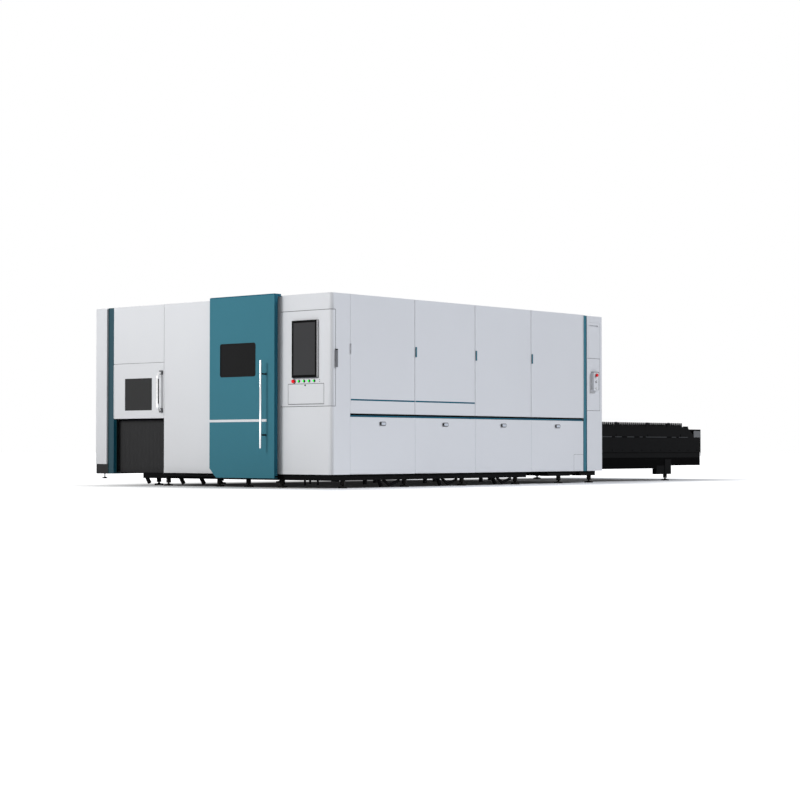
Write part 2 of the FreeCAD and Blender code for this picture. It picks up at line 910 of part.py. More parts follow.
def door_guides():
    """Lower rail on the base frame and upper bar on the roof for the sliding door."""
    left = "-door_left - door_travel"
    ys = ("-door_stand - guide_reach + 6", "base_inset")
    rail = block((left, "-door_right - 16"), ys, ("guide_foot", "guide_foot + guide_height"))
    zs = ("skin_top - 1", "skin_top - 1 + roof_bar_height")
    bar = block((left, "hook_right"), ("roof_bar_place", "bar_back"), zs)
    return join("door_guides", rail, bar)


def sliding_door():
    """Sliding door leaf: a folded pan with a cut corner, closed round its window."""
    item = new_body("door_slab", "-door_left", "door_face", "door_foot")
    edge = [
        ("door_chamfer", "0"), ("door_width", "0"), ("door_width", "door_height"),
        ("0", "door_height"), ("0", "door_chamfer"),
    ]
    leaf = pad(item, outline(item, "XZ_Plane", edge), "door_depth", back=True)
    top = number("door_height")
    rounded = round_edges(
        item, leaf, "door_round",
        lambda middle, edge: along_depth(edge) and middle.x < 0.01 and abs(middle.z - top) < 0.01,
    )
    foot = "window_foot - door_foot"
    window = oblong(
        ("window_inset", "window_inset + window_width"), (foot, f"{foot} + window_height")
    )
    known = {round(edge.CenterOfMass.x + edge.CenterOfMass.z, 3) for edge in rounded.Shape.Edges}
    opening = pocket(item, outline(item, "XZ_Plane", window), None)
    round_edges(
        item, opening, "window_round",
        lambda middle, edge: along_depth(edge) and round(middle.x + middle.z, 3) not in known,
    )
    room = block(
        ("-door_left + door_skin", "-door_right - door_skin"), ("door_face + door_skin", "1"),
        ("door_foot + door_chamfer", "door_top - door_cap"),
    )
    left, low = "-door_left + window_inset", "window_foot - window_frame"
    frame = block(
        (f"{left} - window_frame", f"{left} + window_width + window_frame"),
        ("door_face", "2"), (low, "window_foot + window_height + window_frame"),
    )
    track = block(
        ("-door_left - 1", "-door_right + 1"), ("-door_stand - guide_reach", "1"),
        ("guide_foot - fit", "guide_foot + guide_height + fit"),
    )
    pan = carve("door_pan", item, carve("door_room", room, frame), track)
    low = "door_top - hook_height"
    hood = block(("-door_left + door_round", "-door_right"), ("-door_stand", "0"),
                 ("door_top - door_cap", "door_top"))
    hook = block(("hook_left", "hook_right"), ("-1", "bar_back + fit"), (low, "door_top"))
    lip = block(("hook_left", "hook_right"), ("bar_back + fit", "bar_back + seam_gap"),
                ("skin_top + 6", "door_top"))
    return join("sliding_door_leaf", pan, hood, hook, lip)


def sliding_door_window():
    """Dark safety pane of the sliding door, rounded like its opening."""
    item = new_body("door_pane", "-door_left + window_inset + fit", "door_face + 3", "window_foot + fit")
    sheet = oblong(("0", "window_width - 2 * fit"), ("0", "window_height - 2 * fit"))
    plate = pad(item, outline(item, "XZ_Plane", sheet), "pane", back=True)
    round_edges(item, plate, "window_round", lambda middle, edge: along_depth(edge))
    return item


def sliding_door_bar():
    """Long round bar handle on two posts."""
    x, y = "-door_right - bar_inset", "door_face - bar_reach"
    bar = rod("z", "bar_radius", "bar_length", x, y, "bar_foot")
    posts = [
        rod("y", "bar_post_radius", "bar_reach", x, y, height)
        for height in ("bar_post_low", "bar_post_high")
    ]
    return join("sliding_door_bar", bar, *posts)


# ---------------------------------------------------------------- lower left door

def hatch_door():
    """Hinged lower left door with its window opening."""
    left = "-strip_right + seam_gap"
    item = new_body("hatch_door", left, "0", "hatch_foot")
    width = "left_bay - seam_gap - reveal"
    leaf = oblong(("0", width), ("0", "hatch_top - hatch_foot"))
    pad(item, outline(item, "XZ_Plane", leaf), "leaf", back=True)
    foot = "hatch_window_foot - hatch_foot"
    window = oblong(
        ("hatch_window_inset", "hatch_window_inset + hatch_window_width"),
        (foot, f"{foot} + hatch_window_height"),
    )
    pocket(item, outline(item, "XZ_Plane", window), None)
    return item


def hatch_window():
    """Dark safety pane of the lower left door."""
    left = "-strip_right + seam_gap + hatch_window_inset"
    zs = ("hatch_window_foot", "hatch_window_foot + hatch_window_height")
    return block((left, f"{left} + hatch_window_width"), ("2", "2 + pane"), zs, "hatch_window")


def handle_path(item):
    """Draw the middle line of a handle: out, round a bend, up, round a bend and back."""
    drawing = item.newObject("Sketcher::SketchObject", "middle_line")
    base = next(part for part in item.Origin.OriginFeatures if part.Role == "YZ_Plane")
    drawing.AttachmentSupport = [(base, "")]
    drawing.MapMode = "FlatFace"
    out, straight = "-bow_reach", "bow_bend - bow_reach"
    high = "bow_height - bow_bend"
    spots = [
        ("0", "0"), (straight, "0"), (out, "bow_bend"), (out, high), (straight, "bow_height"),
        ("0", "bow_height"),
    ]
    points = [Vector(number(across), number(along), 0) for across, along in spots]
    middles = [Vector(number(straight), number(along), 0) for along in ("bow_bend", high)]
    radius = number("bow_bend")
    for start in (0, 2, 4):
        drawing.addGeometry(Part.LineSegment(points[start], points[start + 1]))
    for middle, first, last in ((middles[0], 180, 270), (middles[1], 90, 180)):
        circle = Part.Circle(middle, Vector(0, 0, 1), radius)
        drawing.addGeometry(Part.ArcOfCircle(circle, math.radians(first), math.radians(last)))
    for arc, end, line, tip in ((3, 2, 0, 2), (3, 1, 1, 1), (4, 2, 1, 2), (4, 1, 2, 1)):
        drawing.addConstraint(Sketcher.Constraint("Coincident", arc, end, line, tip))
    for index, pair in enumerate(spots):
        line, tip = index // 2, index % 2 + 1
        for kind, formula in (("DistanceX", pair[0]), ("DistanceY", pair[1])):
            if formula != "0":
                rule = Sketcher.Constraint(kind, -1, 1, line, tip, number(formula))
                drawing.setExpression(f"Constraints[{drawing.addConstraint(rule)}]", bound(formula))
            else:
                axis = -2 if kind == "DistanceX" else -1
                drawing.addConstraint(Sketcher.Constraint("PointOnObject", line, tip, axis))
    for arc in (3, 4):
        spot = drawing.addConstraint(Sketcher.Constraint("Radius", arc, radius))
        drawing.setExpression(f"Constraints[{spot}]", bound("bow_bend"))
    drawing.Visibility = False
    return drawing


def hatch_handle():
    """Tube handle with two bends, swept along its middle line, on two short mounts."""
    x = "-wall_left - bow_inset"
    item = new_body("handle_tube", x, "0", "bow_foot")
    ring = [
        (f"bow_radius * cos({angle})", f"bow_radius * sin({angle})") for angle in range(15, 375, 30)
    ]
    section = outline(item, "XZ_Plane", ring)
    path = handle_path(item)
    DOC.recompute()
    tube = item.newObject("PartDesign::AdditivePipe", "tube")
    tube.Profile = section
    tube.Spine = (path, [f"Edge{index}" for index in range(1, 6)])
    DOC.recompute()
    mounts = [
        prism(12, "bow_mount", "bow_mount_length", x, "-bow_mount_length", height, TURNS["y"])
        for height in ("bow_foot", "bow_foot + bow_height")
    ]
    return join("hatch_handle", item, *mounts)


# ---------------------------------------------------------------- control door

def control_door():
    """Control door that wraps round the corner, with button bores and a tray pocket."""
    item = new_body("control_door", "-control_width + hinge_gap", "0", "control_foot")
    width = "control_width - hinge_gap"
    corner = [
        ("0", "0"), (width, "0"), (width, "control_return"),
        (f"{width} - leaf", "control_return"), (f"{width} - leaf", "leaf"), ("0", "leaf"),
    ]
    wall = pad(item, outline(item, "XY_Plane", corner), "control_height")
    side = number(width)
    round_edges(
        item, wall, "corner_radius",
        lambda middle, edge: upright(edge, 100) and middle.y < 0.01 and abs(middle.x - side) < 0.01,
    )
    left = f"{width} - tray_right - tray_width - reveal / 2"
    low = "tray_foot - control_foot - 6"
    cut = oblong((left, f"{left} + tray_width + reveal"), (low, f"{low} + tray_height + 8"))
    pocket(item, outline(item, "XZ_Plane", cut), "tray_leaf + fit")
    half = "(button_stem / 2 + fit)"
    bores = [
        square_bar("y", half, "-1", "leaf + 1", f"-button_right - {index} * button_pitch", "button_row")
        for index in range(4)
    ]
    half = "(stop_stem / 2 + fit)"
    bores.append(square_bar("y", half, "-1", "leaf + 1", "-stop_right", "button_row"))
    zs = ("pull_foot", "pull_foot + pull_height")
    pull = [
        block(("-2", "pull_reach"), ("pull_front", "control_return"), zs),
        block(("1", "pull_reach"), ("pull_front", "pull_back"), zs),
    ]
    return join("control_door_leaf", carve("control_leaf", item, *bores), *pull)


def control_screen():
    """Portrait control screen in its case."""
    xs = ("-screen_right - screen_width", "-screen_right")
    zs = ("screen_foot", "screen_foot + screen_height")
    case = block(xs, ("-screen_depth", "0"), zs)
    face = block(
        (f"{xs[0]} + screen_bezel", f"{xs[1]} - screen_bezel"),
        ("-screen_depth - 1", "-screen_depth + screen_sink"),
        (f"{zs[0]} + screen_bezel", f"{zs[1]} - screen_bezel"),
    )
    return carve("control_screen", case, face)


def keyboard_tray():
    """Flap over the keyboard, hinged along its lower edge."""
    xs = ("-tray_right - tray_width", "-tray_right")
    zs = ("tray_foot + 4", "tray_foot + tray_height")
    leaf = block(xs, ("0", "tray_leaf"), zs)
    pin = rod("x", "4", "tray_width", xs[0], "4", "tray_foot + 1")
    keys = block(
        (f"{xs[0]} + 40", f"{xs[1]} - 40"), ("tray_leaf - 4", "tray_leaf + 1"),
        ("tray_foot + 40", "tray_foot + tray_height - 40"),
    )
    return join("keyboard_tray", carve("tray_leaf_cut", leaf, keys), pin)


def control_stop():
    """Mushroom stop button on the control door."""
    stem = square_bar("y", "stop_stem / 2", "-stop_travel - 1", "leaf - 1", "-stop_right", "button_row")
    cap = prism(16, "stop_radius", "stop_reach - stop_travel - fit", "-stop_right", "-stop_reach",
                "button_row", TURNS["y"])
    return join("control_stop", stem, cap)


def start_button(index):
    """One push button in the row on the control door."""
    x = f"-button_right - {3 - index} * button_pitch"
    stem = square_bar("y", "button_stem / 2", "-button_travel - 1", "leaf - 5", x, "button_row")
    cap = prism(16, "button_radius", "button_reach - button_travel - 1", x, "-button_reach",
                "button_row", TURNS["y"])
    return join(f"push_button_{index + 1}", stem, cap)


def control_cabinet():
    """Open-fronted cabinet behind the control door, with its computer and supplies."""
    xs = ("-control_width - 40", "-leaf - fit - post_size - 6")
    ys = ("leaf + fit", "first_seam - post_size / 2 - 2")
    zs = ("control_foot + 10", "control_top - 10")
    shell = carve(
        "control_shell",
        block(xs, ys, zs),
        block(
            (f"{xs[0]} + 3", f"{xs[1]} - 3"), ("leaf", f"{ys[1]} - 3"),
            (f"{zs[0]} + 3", f"{zs[1]} - 3"),
        ),
    )
    back = f"{ys[1]} - 3"
    devices = [
        block(("-640", "-420"), (f"{back} - 90", back), ("control_top - 390", "control_top - 90")),
        block(("-360", "-180"), (f"{back} - 70", back), ("control_top - 350", "control_top - 130")),
        block(("-660", "-160"), (f"{back} - 60", back), ("control_foot + 400", "control_foot + 520")),
        block(("-660", "-160"), (f"{back} - 50", back), ("control_foot + 120", "control_foot + 210")),
    ]
    return join("control_cabinet", shell, *devices)


# ---------------------------------------------------------------- long side doors

def door_pan(near, far, low, high):
    """Door leaf folded from sheet: a thin skin with a rim all round."""
    leaf = block(("-leaf", "0"), (near, far), (low, high))
    room = block(
        ("-leaf - 1", "-pan_skin"), (f"{near} + pan_rim", f"{far} - pan_rim"),
        (f"{low} + pan_rim", f"{high} - pan_rim"),
    )
    return carve("door_pan", leaf, room)


def side_door(index):
    """One upper side door with its upright grip at the near edge."""
    near = f"first_seam + {index} * bay + hinge_gap"
    far = f"first_seam + {index + 1} * bay - hinge_gap"
    grip = block(
        ("0", "grip_reach"), (f"{near} + 2", f"{near} + 2 + grip_width"),
        ("grip_foot", "grip_foot + grip_height"),
    )
    return join(f"side_door_{index + 1}", door_pan(near, far, "belt_top + 2", "skin_top"), grip)


def side_flap(index):
    """One lower flap with its latch plate, hinged along the bottom."""
    near = f"first_seam + {index} * bay + hinge_gap"
    far = f"first_seam + {index + 1} * bay - hinge_gap"
    leaf = door_pan(near, far, "floor_gap + seam_gap", "belt_foot - 2")
    middle = f"first_seam + ({index} + 0.5) * bay - 10"
    plate = block(
        ("0", "latch_reach"),
        (f"{middle} - latch_width / 2", f"{middle} + latch_width / 2"),
        ("latch_middle - latch_height / 2", "latch_middle + latch_height / 2"),
    )
    return join(f"side_flap_{index + 1}", leaf, plate)


# ---------------------------------------------------------------- bed and gantry

def bed_beam(label, left, turned):
    """One side beam of the bed, with two ledges that carry the pallets."""
    item = new_body(label, left, "bed_front", "pan_top")
    height = "bed_top - pan_top"
    low, high = "lower_level - pan_top", "upper_level - pan_top"
    if turned:
        section = [
            ("0", "0"), ("bed_beam", "0"),
            ("bed_beam", f"{low} - ledge_height"), ("bed_beam + ledge", f"{low} - ledge_height"),
            ("bed_beam + ledge", low), ("bed_beam", low),
            ("bed_beam", f"{high} - ledge_height"), ("bed_beam + ledge", f"{high} - ledge_height"),
            ("bed_beam + ledge", high), ("bed_beam", high),
            ("bed_beam", height), ("0", height),
        ]
    else:
        section = [
            ("ledge", "0"), ("ledge + bed_beam", "0"), ("ledge + bed_beam", height),
            ("ledge", height), ("ledge", high), ("0", high),
            ("0", f"{high} - ledge_height"), ("ledge", f"{high} - ledge_height"),
            ("ledge", low), ("0", low), ("0", f"{low} - ledge_height"),
            ("ledge", f"{low} - ledge_height"),
        ]
    pad(item, outline(item, "XZ_Plane", section), "bed_back - bed_front", back=True)
    return item


def gantry_rails():
    """Two ground rails on the bed beams, on which the gantry rides."""
    pieces = []
    for middle in ("-beam_middle", "-bed_left + bed_beam / 2"):
        pieces.append(block(
            (f"{middle} - rail_width / 2", f"{middle} + rail_width / 2"),
            ("bed_front + 40", "bed_back - 200"), ("bed_top", "rail_top"),
        ))
    return join("gantry_rails", *pieces)


def slag_tray():
    """Long sheet tray between the bed beams that catches slag."""
    xs = ("-tray_left_side", "-tray_right_side")
    ys = ("bed_front + tray_side", "bed_back - 2 * tray_side")
    inner = block(
        (f"{xs[0]} + tray_sheet", f"{xs[1]} - tray_sheet"),
        (f"{ys[0]} + tray_sheet", f"{ys[1]} - tray_sheet"),
        ("pan_top + tray_sheet", "pan_top + tray_depth + 1"),
    )
    return carve("slag_tray", block(xs, ys, ("pan_top", "pan_top + tray_depth")), inner)


def gantry():
    """Cross beam on two trucks that ride on the ground rails."""
    right, left = "-bed_right - 20", "-bed_left + 20"
    pieces = [block((left, right), ("gantry_place", "beam_back"), ("beam_foot", "beam_foot + gantry_height"))]
    for middle in ("-beam_middle", "-bed_left + bed_beam / 2"):
        pieces.append(block(
            (f"{middle} - truck_width / 2", f"{middle} + truck_width / 2"),
            ("gantry_place - truck_reach", "beam_back + truck_reach"), ("gantry_foot", "beam_foot"),
        ))
    for share in ("0.22", "0.78"):
        height = f"beam_foot + gantry_height * {share}"
        pieces.append(block(
            (left, right), ("gantry_place - linear_rail", "gantry_place"),
            (f"{height} - linear_rail_height / 2", f"{height} + linear_rail_height / 2"),
        ))
    return join("gantry", *pieces)


def carriage():
    """Saddle that runs along the front of the gantry, with its motor."""
    xs = ("-bed_middle - carriage_width / 2", "-bed_middle + carriage_width / 2")
    top = "beam_foot + gantry_height"
    saddle = block(xs, ("saddle_back - carriage_depth", "saddle_back"), ("beam_foot + 10", f"{top} + 60"))
    cover = block(xs, ("saddle_back", "beam_back - 60"), (f"{top} + fit", f"{top} + 60"))
    motor = block(
        ("-bed_middle - head_size / 2", "-bed_middle + head_size / 2"),
        ("gantry_place + 60", "gantry_place + 60 + head_size"), (f"{top} + 60", f"{top} + 220"),
    )
    return join("carriage", saddle, cover, motor)


def cutting_head():
    """Cutting head: slide plate, body, collimator and tapered nozzle."""
    plate_back = "saddle_back - carriage_depth - fit"
    y, top = f"{plate_back} - 30", "nozzle_tip + head_height"
    plate = block(
        ("-bed_middle - head_size", "-bed_middle + head_size"),
        (y, plate_back), ("nozzle_tip + 150", top),
    )
    middle = f"{y} - head_size / 2"
    body = block(
        ("-bed_middle - head_size / 2", "-bed_middle + head_size / 2"),
        (f"{y} - head_size", y), ("nozzle_tip + 130", f"{top} - 60"),
    )
    collimator = prism(8, "head_size / 3", "100", "-bed_middle", middle, f"{top} - 60")
    neck = prism(8, "head_size / 3", "70", "-bed_middle", middle, "nozzle_tip + 60")
    tip = DOC.addObject("Part::Cone", "tip")
    bind(tip, Radius1="6", Radius2="head_size / 4", Height="60")
    place(tip, "-bed_middle", middle, "nozzle_tip")
    return join("cutting_head", plate, body, collimator, neck, tip)


def laser_source():
    """Laser source cabinet in the left bay, with two raised fan frames."""
    left = "-source_left"
    case = block(
        (left, f"{left} + source_width"), ("source_front", "source_front + source_depth"),
        ("pan_top", "source_top"),
    )
    ys = ("source_front - 6", "source_front")
    fans = [
        block((f"{left} + 80", f"{left} + 80 + fan_size"), ys, (f"{high} - fan_size", high))
        for high in ("source_top - 20", "source_top - fan_size - 40")
    ]
    return join("laser_source", case, *fans)


def drive_cabinet():
    """Electrical cabinet for the drives in the left bay, with its two doors."""
    left, right, low = "-drive_left", "-drive_left + drive_width", "pan_top + 60"
    back = "drive_front + drive_depth"
    case = block((left, right), ("drive_front", back), ("pan_top", "drive_top"))
    half = "drive_front + drive_depth / 2"
    doors = [
        block((right, f"{right} + 8"), ys, (low, "drive_top - 60"))
        for ys in (("drive_front + 20", f"{half} - 10"), (f"{half} + 10", f"{back} - 20"))
    ]
    return join("drive_cabinet", case, *doors)


# ---------------------------------------------------------------- pallets and table

def pallet_frame(label, start, level):
    """Welded pallet frame with end beams and two inner bearers."""
    right, left = "-pallet_right", "-pallet_left"
    back = f"{start} + pallet_length"
    zs = (f"{level} + fit", f"{level} + pallet_height")
    pieces = [
        block((f"{right} - pallet_beam", right), (start, back), zs),
        block((left, f"{left} + pallet_beam"), (start, back), zs),
        block((left, right), (start, f"{start} + pallet_beam"), zs),
        block((left, right), (f"{back} - pallet_beam", back), zs),
    ]
    for share in ("1 / 3", "2 / 3"):
        middle = f"{left} + (pallet_width * {share})"
        pieces.append(block(
            (f"{middle} - pallet_bearer / 2", f"{middle} + pallet_bearer / 2"), (start, back),
            (zs[0], f"{level} + slat_sink - fit"),
        ))
    return join(label, *pieces)


def slats(label, start, level):
    """Row of toothed slats that stand across a pallet."""
    length = number("pallet_width - 2 * pallet_beam - 4")
    height, tooth = number("slat_height"), number("tooth_height")
    teeth = int(number("tooth_count"))
    count = int(number("slat_count"))
    room = number("pallet_length - 2 * pallet_beam")
    pitch = length / teeth
    corners = [Vector(0, 0, 0), Vector(length, 0, 0), Vector(length, 0, height - tooth)]
    for index in range(teeth, 0, -1):
        corners.append(Vector((index - 0.5) * pitch, 0, height))
        corners.append(Vector((index - 1) * pitch, 0, height - tooth))
    blade = Part.Face(Part.makePolygon(corners + corners[:1]))
    solid = blade.extrude(Vector(0, number("slat_sheet"), 0))
    copies = [
        solid.translated(Vector(0, (index + 0.5) * room / count, 0)) for index in range(count)
    ]
    item = DOC.addObject("Part::Feature", label)
    item.Shape = Part.makeCompound(copies)
    item.Label = label
    return place(item, "-pallet_left + pallet_beam + 2", f"{start} + pallet_beam", f"{level} + slat_sink")


def mirrored(outer, inner, side):
    """Order two places so that the smaller one comes first on either side."""
    return (inner, outer) if side == 1 else (outer, inner)


def guard(outer, side):
    """Upright cover plate along the top of one table beam, stepped at its end."""
    front, top = "machine_length + fit", "guard_height"
    step = "table_end - post_length"
    shape = [
        ("0", "0"), (f"guard_end - ({front})", "0"), (f"guard_end - ({front})", "guard_cut"),
        (f"{step} - ({front})", f"{top} - guard_cut"), (f"{step} - ({front})", top),
        (f"{step} - guard_block - ({front})", top),
        (f"{step} - guard_block - ({front})", f"{top} - guard_step"), ("0", f"{top} - guard_step"),
    ]
    x = f"{outer} - guard_sheet" if side == 1 else outer
    item = new_body("guard", x, front, "upper_level")
    pad(item, outline(item, "YZ_Plane", shape), "guard_sheet")
    return item


def exchange_frame():
    """Outer frame of the exchange table with two ledges for the pallets."""
    front, back = "machine_length + fit", "table_end"
    leg = ("table_leg - table_leg_half", "table_leg + table_leg_half")
    pieces = []
    for outer, pallet, side in (("-table_right", "-pallet_right", 1), ("-table_left", "-pallet_left", -1)):
        skin = f"{outer} - {side} * table_beam"
        set_back = f"{outer} - {side} * table_set_back"
        cover = f"{outer} - {side} * table_set_back / 2"
        plate = f"{outer} - {side} * post_plate"
        ledge = f"{pallet} - {side} * (ledge - pallet_gap)"
        cap_foot = "upper_level + post_height - post_cap"
        for face, ys, zs in (
            (outer, (front, back), ("table_rail_foot", "upper_level")),
            (set_back, (front, back), ("table_skirt_foot", "table_rail_foot")),
            (cover, (front, leg[0]), ("table_cover_foot", "leg_flange")),
            (set_back, leg, ("table_leg_foot", "table_skirt_foot")),
            (cover, ("table_leg + table_foot / 3", leg[1]), ("table_leg_foot", "leg_flange")),
            (plate, ("guard_end", back), ("upper_level", cap_foot)),
            (outer, ("table_end - post_length", back), (cap_foot, "upper_level + post_height")),
        ):
            pieces.append(block(mirrored(face, skin, side), ys, zs))
        for level in ("upper_level", "lower_level"):
            pieces.append(block(
                mirrored(skin, ledge, side), (front, back), (f"{level} - ledge_height", level)
            ))
        pieces.append(guard(outer, side))
    xs = ("-table_left + table_beam", "-table_right - table_beam")
    for start in ("table_end - 80", "table_leg", "machine_length + 100"):
        top = "lower_level - ledge_height" if start == "table_end - 80" else "table_skirt_foot + 80"
        pieces.append(block(xs, (start, f"{start} + 80"), ("table_skirt_foot", top)))
    return join("exchange_frame", *pieces)


def end_plates():
    """Grey cover plates on the two end posts of the exchange table."""
    ys = ("guard_end + fit", "table_end")
    zs = ("upper_level + fit", "upper_level + post_height - post_cap - fit")
    return join(
        "end_plates",
        block(("-table_right - post_plate", "-table_right"), ys, zs),
        block(("-table_left", "-table_left + post_plate"), ys, zs),
    )


def build_pieces():
    """Make every piece and return it under its node name."""
    pieces = {
        "base_frame": base_frame(),
        "levelling_feet": levelling_feet(),
        "floor_pan": floor_pan(),
        "corner_column": corner_column(),
        "front_wall": front_wall(),
        "left_upper_panel": left_upper_panel(),
        "recess_panel": recess_panel(),
        "left_strip": left_strip(),
        "left_wall": left_wall(),
        "roof": roof(),
        "rear_header": rear_header(),
        "rear_left_panel": rear_left_panel(),
        "side_strip": side_strip(),
        "end_cabinet": end_cabinet(),
        "exchange_box": exchange_box(),
        "exchange_stop": exchange_stop(),
        "side_belt": side_belt(),
        "side_frame": side_frame(),
        "hinge_pins": hinge_pins(),
        "side_cabinet": side_cabinet(),
        "side_cabinet_base": side_cabinet_base(),
        "door_guides": door_guides(),
        "sliding_door": sliding_door(),
        "sliding_door_window": sliding_door_window(),
        "sliding_door_bar": sliding_door_bar(),
        "hatch_door": hatch_door(),
        "hatch_window": hatch_window(),
        "hatch_handle": hatch_handle(),
        "control_door": control_door(),
        "control_screen": control_screen(),
        "keyboard_tray": keyboard_tray(),
        "control_stop": control_stop(),
        "control_cabinet": control_cabinet(),
        "bed_beam_right": bed_beam("bed_beam_right", "-bed_right - bed_beam - ledge", False),
        "bed_beam_left": bed_beam("bed_beam_left", "-bed_left", True),
        "gantry_rails": gantry_rails(),
        "slag_tray": slag_tray(),
        "gantry": gantry(),
        "carriage": carriage(),
        "cutting_head": cutting_head(),
        "laser_source": laser_source(),
        "drive_cabinet": drive_cabinet(),
        "upper_pallet": pallet_frame("upper_pallet", "pallet_front", "upper_level"),
        "upper_slats": slats("upper_slats", "pallet_front", "upper_level"),
        "lower_pallet": pallet_frame("lower_pallet", "pallet_front - pallet_travel", "lower_level"),
        "lower_slats": slats("lower_slats", "pallet_front - pallet_travel", "lower_level"),
        "exchange_frame": exchange_frame(),
        "end_plates": end_plates(),
    }
    for index in range(4):
        pieces[f"push_button_{index + 1}"] = start_button(index)
        pieces[f"side_door_{index + 1}"] = side_door(index)
        pieces[f"side_flap_{index + 1}"] = side_flap(index)
    return pieces


def check(pieces):
    """Stop if any object failed or any piece is empty or broken."""
    for item in DOC.Objects:
        if "Invalid" in item.State or "Error" in item.State:
            raise RuntimeError(f"{item.Label}: {item.State}")
    for name, item in pieces.items():
        if item.Shape.isNull() or not item.Shape.isValid() or not item.Shape.Solids:
            raise RuntimeError(f"{name}: no valid solid")


PIECES = build_pieces()
DOC.recompute()
check(PIECES)
os.makedirs("parts", exist_ok=True)
for name, item in PIECES.items():
    item.Label = name
    item.Shape.exportStep(f"parts/{name}.step")
    print(name, len(item.Shape.Solids), round(item.Shape.Volume / 1e6, 3), "litres")
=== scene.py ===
"""Looks of the enclosed fiber laser cutting machine, built round its solids.

Places on the machine are given in millimetres from the enclosure's right front
corner at floor level: x runs left as negative numbers, y runs back along the
long side and z runs up. at() turns them into the frame.
"""

import json
import math

import bmesh
import bpy
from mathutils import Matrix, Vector


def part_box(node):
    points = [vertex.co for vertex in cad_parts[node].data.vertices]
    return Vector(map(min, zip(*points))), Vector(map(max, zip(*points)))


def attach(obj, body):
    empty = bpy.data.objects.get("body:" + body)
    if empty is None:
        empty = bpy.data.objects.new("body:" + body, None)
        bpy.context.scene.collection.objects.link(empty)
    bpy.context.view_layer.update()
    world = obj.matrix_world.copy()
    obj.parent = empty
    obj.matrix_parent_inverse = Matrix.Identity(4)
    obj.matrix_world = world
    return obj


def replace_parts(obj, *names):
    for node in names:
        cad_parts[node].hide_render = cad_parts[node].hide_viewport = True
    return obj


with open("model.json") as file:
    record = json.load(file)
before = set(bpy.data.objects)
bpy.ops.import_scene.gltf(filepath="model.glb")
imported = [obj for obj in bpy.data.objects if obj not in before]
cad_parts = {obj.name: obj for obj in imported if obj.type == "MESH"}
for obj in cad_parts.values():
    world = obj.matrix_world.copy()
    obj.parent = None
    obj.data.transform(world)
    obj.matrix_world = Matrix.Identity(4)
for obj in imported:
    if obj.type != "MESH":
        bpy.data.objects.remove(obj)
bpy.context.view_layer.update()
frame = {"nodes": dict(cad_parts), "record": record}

COLUMN_LOW, COLUMN_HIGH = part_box("corner_column")
CORNER = Vector((COLUMN_HIGH.x, COLUMN_LOW.y, 0))
FRONT, BACK, LEFT, RIGHT, UP = (0, -1, 0), (0, 1, 0), (-1, 0, 0), (1, 0, 0), (0, 0, 1)
SHARP_ANGLE = math.radians(35)


def at(x, y, z):
    """Turn a place in millimetres from the enclosure's corner into the frame."""
    return CORNER + Vector((x, y, z)) / 1000


def limits(node):
    """Lowest and highest corner of a solid, in millimetres from the corner."""
    low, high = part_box(node)
    return (low - CORNER) * 1000, (high - CORNER) * 1000


def about(middle, half):
    """Span that reaches equally far to both sides of a middle."""
    return middle - half, middle + half


def inset(spans, amount):
    """Spans of a rectangle drawn in by an amount on every side."""
    return [(low + amount, high - amount) for low, high in spans]


def spaced(start, pitch, count):
    """Evenly spaced places along a line."""
    return [start + index * pitch for index in range(count)]


# -------- materials

def set_sockets(node, numbers):
    """Set plain numbers on a node's sockets, with underscores for spaces."""
    for words, number in numbers.items():
        node.inputs[words.replace("_", " ")].default_value = number
    return node


def new_node(tree, kind, **numbers):
    """Add a node with plain numbers on its sockets."""
    return set_sockets(tree.nodes.new("ShaderNode" + kind), numbers)


def new_material(name, color, roughness, **numbers):
    """Start a material with plain numbers on the shader's own sockets."""
    material = bpy.data.materials.new(name)
    material.use_nodes = True
    numbers.update(Base_Color=(*color, 1), Roughness=roughness)
    set_sockets(material.node_tree.nodes["Principled BSDF"], numbers)
    return material, material.node_tree


def feed(tree, socket, value):
    """Lead a value into one of the shader's sockets."""
    tree.links.new(value, tree.nodes["Principled BSDF"].inputs[socket])


def noise(tree, scale, detail=2.0, stretch=(1, 1, 1)):
    """Noise laid on the object's own coordinates, which are metres of the frame."""
    place = new_node(tree, "TexCoord")
    turn = new_node(tree, "Mapping", Scale=stretch)
    texture = new_node(tree, "TexNoise", Scale=scale, Detail=detail)
    tree.links.new(place.outputs["Object"], turn.inputs["Vector"])
    tree.links.new(turn.outputs["Vector"], texture.inputs["Vector"])
    return texture.outputs["Fac"]


def spread(tree, value, low, high, start=0.0, end=1.0):
    """Map a value from one range to another, without leaving it."""
    node = new_node(tree, "MapRange", From_Min=start, From_Max=end, To_Min=low, To_Max=high)
    tree.links.new(value, node.inputs["Value"])
    return node.outputs["Result"]


def color_mix(tree, blend, first):
    """Start a mix of two colours with the first of them."""
    node = tree.nodes.new("ShaderNodeMix")
    node.data_type = "RGBA"
    node.blend_type = blend
    node.inputs["Factor"].default_value = 1
    node.inputs["A"].default_value = (*first, 1)
    return node


def tint(tree, color, value):
    """Multiply a colour by a value."""
    node = color_mix(tree, "MULTIPLY", color)
    tree.links.new(value, node.inputs["B"])
    return node.outputs["Result"]


def calculate(tree, operation, first, second):
    """Join two values, or a value and a number, by one operation."""
    node = tree.nodes.new("ShaderNodeMath")
    node.operation = operation
    for socket, value in zip(node.inputs, (first, second)):
        if isinstance(value, (int, float)):
            socket.default_value = value
        else:
            tree.links.new(value, socket)
    return node.outputs["Value"]


def bump(tree, value, strength, distance):
    """Turn a height into the shader's normal."""
    node = new_node(tree, "Bump", Strength=strength, Distance=distance)
    tree.links.new(value, node.inputs["Height"])
    feed(tree, "Normal", node.outputs["Normal"])


